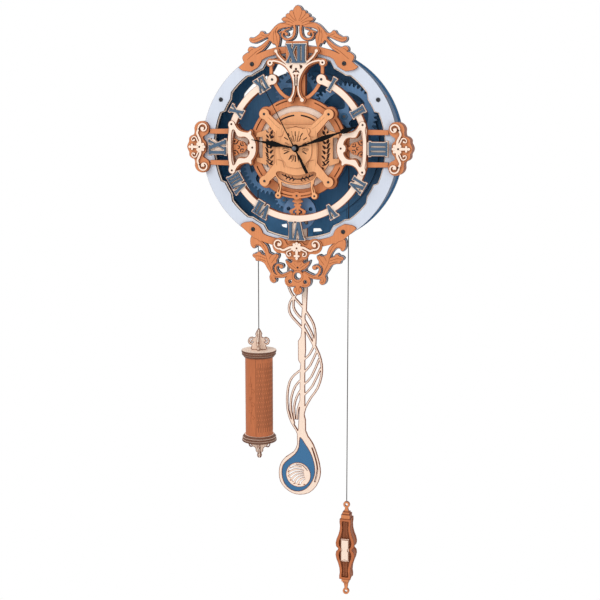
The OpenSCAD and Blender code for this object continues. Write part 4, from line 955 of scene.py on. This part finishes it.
LEAVES = (
    ((31.9, 19.2), (34.4, 16.0)), ((35.7, 16.8), (34.6, 13.2)), ((30.2, 14.2), (33.6, 11.3)),
    ((39.5, 10.8), (36.6, 7.0)), ((32.8, 8.5), (36.6, 5.1)), ((41.2, 6.2), (37.8, 2.6)),
    ((31.7, 2.9), (36.9, -0.4)), ((41.4, 0.1), (37.8, -3.4)), ((31.3, -2.9), (36.2, -6.2)),
    ((41.2, -6.4), (37.4, -9.6)), ((30.6, -9.2), (34.6, -12.5)), ((39.8, -13.2), (34.3, -16.4)),
    ((38.0, -19.0), (31.6, -21.6)), ((30.6, -23.8), (33.8, -25.8)),
)
PINS = (
    (BADGE_FACE, ((83.2, 28.6), (83.2, -28.6), (56.2, 0), (33, 103), (6.2, 98))),
    (PLATE_FACE, ((126.6, 0), (126.6, 22.2), (126.6, -22.2))),
)
PIERCINGS = (
    ([(4.6, 100.2), (6.8, 99.4), (7.2, 96.8), (5, 95.6)], 1.1, 0.7),
    ([(2.2, 92.8), (4.0, 91.0)], 2.2, 1.0),
    ([(1.5, 84.5), (1.3, 75.5)], 1.6, 1.4),
)


def leaf(first, last, width):
    """A pointed leaf between two points."""
    (ax, az), (bx, bz) = first, last
    middle = ((ax + bx) / 2, (az + bz) / 2)
    return joined(bar([first, middle], width * 0.35, width), bar([middle, last], width, width * 0.35))


def mirrored(drawing):
    return lambda x, z: drawing(abs(x), z)


class CLOCK_OT_marks(bpy.types.Operator):
    """Char the fans of the shield, and lay dark inlays on the laurel's leaves, the piercings and the holes of
    the pins as painted shade of these openings
    """

    bl_idname = "clock.marks"
    bl_label = "Marks"

    def execute(self, context):
        marks = bmesh.new()
        for line in FAN_CUTS:
            ribbon(marks, line, 1.3, SHIELD_FACE, thin=1)
        for first, last in FAN_DOTS:
            dx, dz = (b - a for a, b in zip(first, last))
            reach = 0.35 / math.hypot(dx, dz)
            for k in range(6):
                x, z = (a + (b - a) * (k + 0.25) / 6 for a, b in zip(first, last))
                dot = [(x + s * dx * reach, z + s * dz * reach) for s in (-1, 1)]
                ribbon(marks, dot, 1.5 - 0.15 * k, SHIELD_FACE, thin=1)
        # Dark discs at the pins: painted shade of their holes.
        hole = [(r * MM, y * MM) for r, y in ((0, -0.05), (1.2, -0.05), (1.2, 0.2), (0, 0.2))]
        for y, places in PINS:
            for x, z in places:
                for side in (-1, 1):
                    turned_shape(marks, at(side * x, z, y), hole, 12)
        as_piece("char_and_hole_shade_marks", marks, "char", "frame")
        # Dark inlays over the laurel's leaves, the piercings and the middle hole: painted shade of the
        # openings, in the colour of char.
        wing = mirrored(joined(*[leaf(*ends, 2.5) for ends in LEAVES]))
        box = (29, -27.5, 43, 21)
        cuts = [(wing, box, LAUREL_FACE - 0.07, LAUREL_FACE + 0.2, 0.3, place) for place in (at, flip)]
        holes = mirrored(joined(disc(0, 95.4, 1.5), *[bar(*piercing) for piercing in PIERCINGS]))
        cuts.append((holes, (-9, 74, 9, 102), BADGE_FACE - 0.07, BADGE_FACE + 0.2, 0.3))
        ply_piece("opening_shade_inlays", cuts, "char", "frame")
        lines = both_sides(SHIELD_EDGE[:2]) + SHIELD_EDGE[2:]
        engraving("shield_edge", lines, SHIELD_FACE, 0.45)
        return {"FINISHED"}


# The bob's shell

SHELL_AT = (-2.4, -424.1)
SHELL_SLOTS = (
    ([(-13.2, -414.2), (-8.6, -411.9), (-4, -411.5), (1.8, -413.0)], 1.9, 0.9),
    ([(-14.4, -418.6), (-9.6, -415.9), (-4.4, -415.3), (1.6, -416.0), (4.6, -417.4)], 2.3, 1.0),
    ([(-14.2, -423.6), (-9.6, -420.4), (-4.4, -418.9), (1.6, -418.9), (4.4, -419.8)], 2.3, 1.0),
    ([(-12.8, -428.4), (-9.0, -424.8), (-4.4, -422.4), (1.6, -421.6), (4.6, -422.0)], 2.3, 1.0),
    ([(-9.6, -432.6), (-6.8, -428.6), (-3.0, -425.6), (1.6, -424.2), (5.0, -424.2)], 2.3, 1.0),
    ([(-5.6, -435.0), (-3.6, -431.4), (-0.4, -428.4), (3.0, -426.8), (6.0, -426.6)], 2.2, 1.0),
    ([(-0.2, -436.2), (1.2, -433.2), (3.6, -430.6), (6.4, -429.2)], 2.0, 0.9),
    ([(-4.6, -409.8), (-1.2, -409.7), (3.4, -411.0), (7.0, -413.8), (9.6, -417.0)], 0.8, 1.1),
)
SHELL_PITS = (
    (-16.2, -421.2), (-16.0, -427.0), (-13.2, -432.3), (-8.4, -436.4), (-2.7, -437.6), (5.1, -436.9),
)


class CLOCK_OT_shell(bpy.types.Operator):
    """Cut the shell of the bob, with a brown edge round each slot"""

    bl_idname = "clock.shell"
    bl_label = "Shell"

    def execute(self, context):
        low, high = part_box("bob_shell")
        y = (low.y - DIAL.y) / MM
        radius = (high.x - low.x) / 2 / MM
        middle = ((low.x + high.x) / 2 / MM - DIAL.x / MM, (low.z + high.z) / 2 / MM - DIAL.z / MM)
        dx, dz = middle[0] - SHELL_AT[0], middle[1] - SHELL_AT[1]

        def moved(points):
            return [(x + dx, z + dz) for x, z in points]

        slots = joined(*[bar(moved(smooth_line(points, 3)), *widths) for points, *widths in SHELL_SLOTS])
        pits = joined(*[bar(moved([(x, z), (x + 1.0, z + 0.4)]), 1.3) for x, z in SHELL_PITS])
        rim = disc(*middle, radius)
        box = [m + s * (radius + 1) for s in (-1, 1) for m in middle]
        plate = [(cut(rim, slots, pits), box, y, y + 1.4, 0.3)]
        ply_piece("shell_disc", plate, "plate_pale", "pendulum", ["bob_shell"])
        border = cut(grown(slots, 0.32), slots)
        edge = cut(rim, disc(*middle, radius - 0.5))
        lines = [(joined(cut(border, pits), pits, edge), box, y - 0.06, y + 0.1, 0.3)]
        ply_piece("shell_lines", lines, "pale_burn", "pendulum")
        return {"FINISHED"}


# The handle

HANDLE_EDGE = [
    (7.5, -480.9), (7.6, -485.6), (6.9, -490.4), (7.4, -496.4), (9.0, -502.6), (11.4, -508.6), (12.6, -514.2),
    (12.0, -518.6), (9.4, -521.4), (9.1, -522.4), (9.4, -523.4), (12.0, -526.2), (12.6, -530.6), (11.4, -536.2),
    (9.0, -542.2), (7.4, -548.4), (6.9, -554.4), (7.6, -559.0), (7.5, -563.7),
]
HANDLE_SLOT = [
    (4.3, -484.2), (4.3, -488.6), (3.6, -492.6), (4.2, -498.4), (5.6, -504.6), (7.6, -510.2), (8.2, -514.5),
    (7.4, -518.2), (5.0, -521.6), (5.0, -523.2), (7.4, -526.6), (8.2, -530.4), (7.6, -534.6), (5.6, -540.4),
    (4.2, -546.4), (3.6, -552.2), (4.3, -556.4), (4.3, -560.6),
]
LABEL_EDGE = [
    (4.8, -508.6), (4.8, -520.2), (3.7, -521.0), (3.4, -522.4), (3.7, -523.8), (4.8, -524.6), (4.8, -537.2),
    (2.4, -536.8), (0, -535.4),
]
# Half width, top, foot and half depth
COLLARS = (
    (5.8, -475.6, -480.9, 7.2), (4.7, -563.7, -567.4, 7.2),
    (4.6, -472.8, -475.6, 4.2), (3.8, -567.4, -570.2, 4.2),
)


def two_sided(points):
    """A closed outline from its right side, given from top to bottom."""
    return [*points, *[(-x, z) for x, z in points[::-1] if x]]


class CLOCK_OT_handle(bpy.types.Operator):
    """Build the handle: two profiled plates over a core in a darker copy of the red birch as painted shade of
    the slot, necks with eyes, collars and the bare label
    """

    bl_idname = "clock.handle"
    bl_label = "Handle"

    def execute(self, context):
        middle = (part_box("handle_plates")[0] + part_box("handle_plates")[1]) / 2
        depth = (middle.y - DIAL.y) / MM

        def place(x, z, y):
            return Vector((middle.x + x * MM, DIAL.y + (depth + y) * MM, DIAL.z + z * MM))

        edge, slot = polygon(two_sided(HANDLE_EDGE)), polygon(two_sided(HANDLE_SLOT))
        box = (-13.6, -565, 13.6, -479.6)
        cuts = [(cut(edge, slot), box, y, y + 3, 0.45, place) for y in (-8.2, 5.2)]
        ply_piece("handle_sides", cuts, "birch_red", "handle", ["handle_plates"])
        core = two_sided([(x - 0.7, z) for x, z in HANDLE_EDGE])
        ply_piece("handle_middle", [(core, -5.2, 5.2, place)], "handle_core", "handle")
        cuts = []
        for x, top, foot, y in COLLARS:
            cuts.append((two_sided([(x, top), (x, foot)]), -y, y, place))
        for eye, first, last in ((-463.3, (0, -466.6), (0, -473.4)), (-582.6, (0, -579.0), (0, -569.8))):
            ring = cut(joined(disc(0, eye, 4.3), bar([first, last], 3.4, 6.4)), disc(0, eye, 1.9))
            box = (-5.4, min(eye, last[1]) - 5.4, 5.4, max(eye, last[1]) + 5.4)
            cuts.append((ring, box, -1.5, 1.5, 0.3, place))
        ply_piece("handle_ends", cuts, "birch_orange", "handle", ["handle_fittings"])
        face = (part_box("handle_label")[0].y - DIAL.y) / MM - depth
        back = two_sided([(5.6, -507.2), (5.6, -538.6)])
        cuts = [(two_sided(LABEL_EDGE), face, face + 1.3, place), (back, face + 1.3, -8.2, place)]
        ply_piece("label_plies", cuts, "plate_pale", "handle", ["handle_label"])
        return {"FINISHED"}


def rim_lines(name, pieces, width, finish, body, axes=((0, -1, 0),)):
    """Burnt lines of one width just inside the outlines of the faces that look along one of the axes."""
    lines = bmesh.new()
    lift, sink = 0.05 * MM, 0.1 * MM
    for piece in pieces:
        solid = bmesh.new()
        solid.from_mesh(piece.data)
        solid.transform(piece.matrix_world)
        bmesh.ops.remove_doubles(solid, verts=solid.verts, dist=0.002 * MM)
        solid.normal_update()
        for face in solid.faces:
            if all(face.normal.dot(Vector(axis)) < 0.98 for axis in axes):
                continue
            for loop in face.loops:
                others = [f for f in loop.edge.link_faces if f is not face]
                if len(others) != 1 or others[0].normal.dot(face.normal) > 0.5:
                    continue
                a, b = loop.vert.co, loop.link_loop_next.vert.co
                if (b - a).length < 0.02 * MM:
                    continue
                inward = face.normal.cross(b - a).normalized() * width * MM
                corners = [
                    lines.verts.new(place + face.normal * reach)
                    for reach in (lift, -sink)
                    for place in (a, b, b + inward, a + inward)
                ]
                front, back = corners[:4], corners[4:]
                lines.faces.new(front)
                lines.faces.new(back[::-1])
                for k in range(4):
                    lines.faces.new((front[k], back[k], back[(k + 1) % 4], front[(k + 1) % 4]))
        solid.free()
    as_piece(name, lines, finish, body)


class CLOCK_OT_rims(bpy.types.Operator):
    """Burn a line round the faces of the pale plies, the bob's rim, the weight's crosses and the handle"""

    bl_idname = "clock.rims"
    bl_label = "Burnt rims"

    def execute(self, context):
        nodes, made = frame["nodes"], bpy.data.objects
        dial = [nodes[name] for name in ("numeral_ring", "side_brackets", "twelve_bracket", "edge_scrolls")]
        rim_lines("dial_rims", dial, 0.38, "pale_burn", "frame")
        rim_lines("rod_rims", [nodes["pendulum_rod"]], 0.65, "engraved", "pendulum")
        turns = [math.radians(turn + half) for half in (0, 180) for turn in CROSS_TURNS]
        axes = [(-math.sin(turn), math.cos(turn), 0) for turn in turns]
        rim_lines("cross_rims", [made["weight_crosses"]], 0.75, "engraved", "weight", axes)
        rim_lines("handle_rims", [made["handle_sides"]], 0.4, "engraved", "handle")
        rim_lines("label_rims", [made["label_plies"]], 0.4, "pale_burn", "handle")
        orange = [nodes[name] for name in ("medallion_frame", "badge", "crest_front", "drop_front")]
        rim_lines("orange_rims", orange, 0.3, "engraved", "frame")
        return {"FINISHED"}


class CLOCK_OT_back_fill(bpy.types.Operator):
    """Narrow the openings of the back below the dial to what shows"""

    bl_idname = "clock.back_fill"
    bl_label = "Back fill"

    def execute(self, context):
        left = polygon([(-34.3, -100.9), (-27, -99.5), (-27, -105), (-32.7, -103.6)])
        right = polygon([(8.4, -104.6), (17.6, -104.2), (22.5, -111.4), (8.4, -113.6)])
        arc = cut(polygon([(-52, -60), (52, -60), (52, -119), (-52, -119)]), disc(0, 0, 90), left, right)
        fill = [(common(arc, disc(0, 0, 121)), (-53, -121, 53, -60), 44.4, 44.9, 0.9)]
        ply_piece("back_fill", fill, "paint_blue", "frame")
        return {"FINISHED"}


class CLOCK_OT_engraving(bpy.types.Operator):
    """Engrave the petals, leaves and scrolls of the crest, the drop and the badge"""

    bl_idname = "clock.engraving"
    bl_label = "Engraving"

    def execute(self, context):
        engraving("crest_engraving", both_sides(CREST_LINES), CREST_FACE)
        engraving("drop_engraving", both_sides(DROP_LINES) + OVAL_LINE, CREST_FACE)
        engraving("badge_engraving", [BADGE_LINES[0], *both_sides(BADGE_LINES[1:])], BADGE_FACE, 0.32)
        return {"FINISHED"}


def on_tube(middle, radius, turn, z, lift=0.0):
    """A place on an upright tube, turn in radians from the right and towards the front."""
    reach = radius + lift * MM
    return Vector((middle.x + reach * math.cos(turn), middle.y - reach * math.sin(turn), z))


def tube_line(shape, middle, radius, line, width, lift=0.05):
    """A line burnt into the skin of an upright tube. The line gives (turn, z) in radians and metres."""
    sections = []
    for i, (turn, z) in enumerate(line):
        before, after = line[max(i - 1, 0)], line[min(i + 1, len(line) - 1)]
        run = Vector(((after[0] - before[0]) * radius, after[1] - before[1])).normalized()
        side = (-run.y * width / 2 / radius, run.x * width / 2)
        sections.append(
            [
                shape.verts.new(on_tube(middle, radius, turn + s * side[0], z + s * side[1], d))
                for s, d in ((-1, lift), (1, lift), (1, -0.2), (-1, -0.2))
            ]
        )
    skin_over(shape, sections)


# Fretwork, scroll cores and the fills of the numeral plates


WINDOW = folded(
    [
        (83.6, 0), (83.6, 10), (83, 18), (81.6, 21.8), (79.4, 21.2), (77.4, 17.2), (75, 13.6), (71, 12.8),
        (66.6, 13.2), (62.8, 11.4), (60.4, 7.8), (59.8, 4.8), (62, 3.4), (62.8, 0),
    ]
)
FRET_EDGE = folded(
    [
        (63.6, 0), (64.2, 1.5), (66.1, 2.3), (67.4, 4.8), (69.1, 6.5), (71.3, 7.4), (73.6, 7.6), (75.4, 8.4),
        (77.6, 9.6), (80.4, 10.8), (84.4, 11.4),
    ]
)
FRET_CUTS = (
    ([(69.7, 2.6), (71.9, 1.9), (73.5, 3.2), (73.2, 5.4)], 1.5, 0.9),
    ([(70.2, 4.9), (71.4, 5.6)], 1.2, 0.9),
    ([(76.4, 8), (77.9, 5), (80.4, 3.8), (83, 4.9)], 1.3, 1.2),
    ([(80.6, 7.8), (81.7, 6.9), (82.4, 8)], 2, 1.4),
)
CORE_EDGE = folded(
    [
        (143.6, 0), (142.6, 3.6), (141, 6.6), (140.8, 10.8), (138, 14), (134.4, 15.6), (133.4, 19.6),
        (133.6, 24), (131.6, 28.4), (127.6, 31.4), (123, 32.2), (118.6, 31), (115.4, 27.4), (114.2, 22.4),
        (115.6, 17.4), (119.2, 14.6), (122.4, 12.6), (121.8, 9.2), (118.8, 5.8), (118.2, 0),
    ]
)
PLATE_FILLS = (
    [(-10.4, -92.4), (5.0, -92.4), (8.2, -112.2), (-10.4, -112.6)],
    [
        (-113.6, -8.7), (-89.7, -8.4), (-89.7, 9.4), (-96, 9.6), (-101.4, 5.6), (-107, 9.8), (-113.6, 9.8),
    ],
)


def below(x, z, y):
    """The place on the ring's lowest point of what is drawn at its right."""
    return at(z, 2.2 - x, y)


class CLOCK_OT_fretwork(bpy.types.Operator):
    """Fill the side brackets with their scrolled panels, and cut the cores behind the edge scrolls"""

    bl_idname = "clock.fretwork"
    bl_label = "Fretwork"

    def execute(self, context):
        strokes = []
        for points, wide, narrow in FRET_CUTS:
            for s in (1, -1):
                strokes.append(bar([(x, z * s) for x, z in points], wide, narrow))
        strokes.append(bar([(76.9, 1.8), (74.9, 1.1), (74.6, -1.1), (76.7, -1.8)], 1))
        fret = cut(polygon(FRET_EDGE), *strokes)
        box = (63, -12, 84.6, 12)
        cuts = [(fret, box, -3.8, -1.4, 0.25, place) for place in (at, flip)]
        ply_piece("side_frets", cuts, "birch_orange", "frame", ["side_panels"])
        pale = right_of(grown(polygon(WINDOW), 0.8), 65)
        cuts = [(pale, (64, -23, 85, 23), 0.6, 3, 0.5, place) for place in (at, flip)]
        ply_piece("side_backs", cuts, "round_pale", "frame", ["side_panel_backs"])
        floor = [(55, -14), (65, -14), (65, 14), (55, 14)]
        cuts = [(floor, 1.4, 3.8, place) for place in (at, flip)]
        ply_piece("side_floors", cuts, "birch_orange", "frame")
        core = rounded(CORE_EDGE, 3)
        cuts = [(core, -5.4, 0, place) for place in (at, flip)]
        outer = cut(polygon(core), disc(0, 0, 125.3))
        cuts += [(outer, (119, -33.4, 144.6, 33.4), 0, 13, 0.7, place) for place in (at, flip)]
        cuts.append((core, -5.4, -3, below))
        ply_piece("scroll_cores", cuts, "birch_orange", "frame", ["edge_scroll_cores"])
        cuts = [(points, -7.72, -5.5) for points in PLATE_FILLS]
        ply_piece("plate_fills", cuts, "round_pale", "frame")
        return {"FINISHED"}


# The weight


WEIGHT_RADIUS = 18.0
CROSS_TURNS = (10, 100)
# Radius and height over the tube's end
DISC_PROFILE = (
    (19.6, 0), (21.4, 2.4), (21.8, 3), (22.2, 3.2), (22.2, 5.8), (21.9, 6), (21.9, 6.3), (22.6, 6.5),
    (22.8, 6.8), (22.8, 8.6), (22.5, 9),
)
FINIAL_TOP = two_sided(
    [
        (0, 0), (2.4, -3), (4, -7), (3.4, -10), (5.6, -12), (8, -11), (11.4, -12.4), (13, -16.4),
        (11.6, -20.6), (8.4, -22.2), (9.4, -26), (7, -28),
    ]
)
FINIAL_LOW = two_sided(
    [
        (0, -24), (2, -23.4), (3.2, -20.4), (2.4, -17.2), (4.6, -15.4), (5.2, -11.4), (8, -8.8),
        (11.6, -9.6), (14.2, -6.8), (14, -2.4), (11.6, 0),
    ]
)


def curl(x, z, first, last, start, sweep, steps=12):
    """Points of a spiral that narrows from one radius to another, its angles in degrees."""
    points = []
    for k in range(steps + 1):
        t = k / steps
        r, a = first + (last - first) * t, math.radians(start + sweep * t)
        points.append((x + r * math.cos(a), z + r * math.sin(a)))
    return points


class CLOCK_OT_weight(bpy.types.Operator):
    """Build the weight's tube, its turned discs and its crossed finials"""

    bl_idname = "clock.weight"
    bl_label = "Weight"

    def execute(self, context):
        low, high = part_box("weight_tube")
        middle = (low + high) / 2
        r = WEIGHT_RADIUS * MM
        shape = bmesh.new()
        lathe(shape, middle, [(r, low.z), (r, high.z)])
        as_piece("weight_skin", shape, "skin_red", "weight", ["weight_tube"])
        shape = bmesh.new()
        for z, s in ((high.z, MM), (low.z, -MM)):
            lathe(shape, middle, [(radius * MM, z + s * height) for radius, height in DISC_PROFILE])
        as_piece("weight_discs", shape, "disc_pale", "weight", ["weight_caps"])
        top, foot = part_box("weight_finials")[1].z, low.z - DISC_PROFILE[-1][1] * MM

        def upright(turn, end):
            """Places in an upright plane through the weight's axis, below one end of it."""
            across = Vector((math.cos(turn), math.sin(turn), 0))
            over = Vector((-math.sin(turn), math.cos(turn), 0))
            start = Vector((middle.x, middle.y, end))
            return lambda x, z, y: start + (x * across + y * over) * MM + Vector((0, 0, z * MM))

        upper = cut(
            polygon(rounded([(1.1 * x, z) for x, z in FINIAL_TOP], 3)),
            mirrored(bar(curl(8.6, -17, 3.1, 0.9, 90, -250), 1.3, 0.9)),
        )
        lower = cut(polygon(rounded(FINIAL_LOW, 3)), mirrored(bar(curl(10.4, -5, 2.8, 0.9, -90, 250), 1.5, 1)))
        cuts = []
        for turn in map(math.radians, CROSS_TURNS):
            cuts.append((upper, (-15.4, -28, 15.4, 0.6), -1.2, 1.2, 0.3, upright(turn, top)))
            cuts.append((lower, (-15.4, -24.6, 15.4, 0), -1.2, 1.2, 0.3, upright(turn, foot)))
        ply_piece("weight_crosses", cuts, "cross_pale", "weight", ["weight_finials"])
        return {"FINISHED"}


class CLOCK_OT_weight_skin(bpy.types.Operator):
    """Draw the flexing slits on the weight's tube as dark lines of painted shade in the colour of char, and
    burn its seam and its scroll
    """

    bl_idname = "clock.weight_skin"
    bl_label = "Weight skin"

    def execute(self, context):
        low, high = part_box("weight_tube")
        middle = Vector(((low.x + high.x) / 2, (low.y + high.y) / 2, 0))
        radius = WEIGHT_RADIUS * MM
        tall = high.z - low.z
        line_width = 0.3 * MM
        shape = bmesh.new()
        # Dark lines for the slits: painted shade in the cuts.
        for column in range(44):
            turn = math.radians(82) - column * math.radians(5)
            start = low.z + (0.006 if column % 2 else 0.012)
            while start < high.z - 0.014:
                tube_line(shape, middle, radius, [(turn, start), (turn, start + 0.0096)], 0.34 * MM)
                start += 0.0118
        for turn in map(math.radians, (87, 160, 262)):
            ends = [(turn, low.z + 0.0005), (turn, high.z - 0.0005)]
            tube_line(shape, middle, radius, ends, line_width)
        as_piece("weight_slits", shape, "char", "weight")
        shape = bmesh.new()
        place = math.radians(108)
        foot = low.z + tall * 0.2
        for tendril in range(6):
            side = 1 if tendril % 2 else -1
            base = foot + tendril * tall * 0.085 + tall * 0.04
            line = []
            for k in range(15):
                t = k / 14
                r = (1 - 0.72 * t) * 3.4 * MM
                turn = side * (0.2 + 5.4 * t) + 2.4
                out = side * (2.2 * MM + r * math.cos(turn))
                line.append((place + out / radius, base + r * math.sin(turn)))
            tube_line(shape, middle, radius, line, line_width)
        sway = 1.1 * MM / radius
        stem = [(place + sway * math.sin(k * 0.9), foot - 0.004 + k * tall * 0.036) for k in range(18)]
        tube_line(shape, middle, radius, stem, line_width)
        as_piece("weight_scroll", shape, "engraved", "weight")
        return {"FINISHED"}


class CLOCK_OT_band_tenon(bpy.types.Operator):
    """Show the tenons that hold the bent side band at its right and its left"""

    bl_idname = "clock.band_tenon"
    bl_label = "Band tenons"

    def execute(self, context):
        shape = bmesh.new()
        half = ((6.1, 1.7), (26, 1.7), (28, 1.1))
        outline = [*half, *[(y, -width) for y, width in half[::-1]]]
        for turn in map(math.radians, (31, 149)):
            out = Vector((math.cos(turn), 0, math.sin(turn)))
            along = Vector((-math.sin(turn), 0, math.cos(turn)))
            rings = [
                [shape.verts.new(at(0, 0, y) + (reach * out + width * along) * MM) for y, width in outline]
                for reach in (121.4, 122.35)
            ]
            skin_over(shape, rings)
        as_piece("band_tenons", shape, "birch_red", "frame")
        return {"FINISHED"}


class CLOCK_OT_handle_core(bpy.types.Operator):
    """Flute the core that shows in the handle's slot"""

    bl_idname = "clock.handle_core"
    bl_label = "Handle core"

    def execute(self, context):
        low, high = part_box("handle_plates")
        x = (low.x + high.x) / 2
        shape = bmesh.new()
        turns = [math.pi * k / 8 for k in range(9)]
        for face, front in ((low.y + 3.2 * MM, -1), (high.y - 3.2 * MM, 1)):
            for side in (-2.1, 2.1):
                section = [((side + 1.45 * math.cos(t)) * MM, front * 1.9 * math.sin(t) * MM) for t in turns]
                rings = [
                    [shape.verts.new((x + dx, face + dy, z)) for dx, dy in section]
                    for z in (low.z + 4 * MM, high.z - 4 * MM)
                ]
                skin_over(shape, rings)
                for wall in list(shape.faces)[-11:-3]:
                    wall.smooth = True
        as_piece("handle_flutes", shape, "handle_core", "handle")
        return {"FINISHED"}


class CLOCK_PT_panel(bpy.types.Panel):
    """The clock's pieces, sizes and colours"""

    bl_idname = "CLOCK_PT_panel"
    bl_label = "Clock"
    bl_space_type = "VIEW_3D"
    bl_region_type = "UI"
    bl_category = "Clock"

    def draw(self, context):
        for group in (context.scene.clock_finishes, context.scene.clock_details, context.scene.clock_view):
            for name in group.bl_rna.properties.keys():
                if name not in ("rna_type", "name"):
                    self.layout.prop(group, name)
        for operator in PIECES:
            self.layout.operator(operator.bl_idname)


PIECES = (
    CLOCK_OT_stage, CLOCK_OT_finishes, CLOCK_OT_cords, CLOCK_OT_screws, CLOCK_OT_cap, CLOCK_OT_engraving,
    CLOCK_OT_marks, CLOCK_OT_shell, CLOCK_OT_handle, CLOCK_OT_back_fill, CLOCK_OT_fretwork, CLOCK_OT_weight,
    CLOCK_OT_weight_skin, CLOCK_OT_rims, CLOCK_OT_band_tenon, CLOCK_OT_handle_core,
)
GROUPS = (ClockFinishes, ClockDetails, ClockView)


def register():
    for kind in (*GROUPS, *PIECES, CLOCK_PT_panel):
        bpy.utils.register_class(kind)
    bpy.types.Scene.clock_finishes = PointerProperty(type=ClockFinishes)
    bpy.types.Scene.clock_details = PointerProperty(type=ClockDetails)
    bpy.types.Scene.clock_view = PointerProperty(type=ClockView)


def unregister():
    del bpy.types.Scene.clock_view
    del bpy.types.Scene.clock_details
    del bpy.types.Scene.clock_finishes
    for kind in (CLOCK_PT_panel, *PIECES[::-1], *GROUPS[::-1]):
        bpy.utils.unregister_class(kind)


def main():
    register()
    bpy.ops.clock.stage()
    bpy.ops.clock.finishes()
    bpy.ops.clock.cords()
    bpy.ops.clock.screws()
    bpy.ops.clock.cap()
    bpy.ops.clock.engraving()
    bpy.ops.clock.marks()
    bpy.ops.clock.shell()
    bpy.ops.clock.handle()
    bpy.ops.clock.back_fill()
    bpy.ops.clock.fretwork()
    bpy.ops.clock.weight()
    bpy.ops.clock.weight_skin()
    bpy.ops.clock.rims()
    bpy.ops.clock.band_tenon()
    bpy.ops.clock.handle_core()


if __name__ == "__main__":
    main()
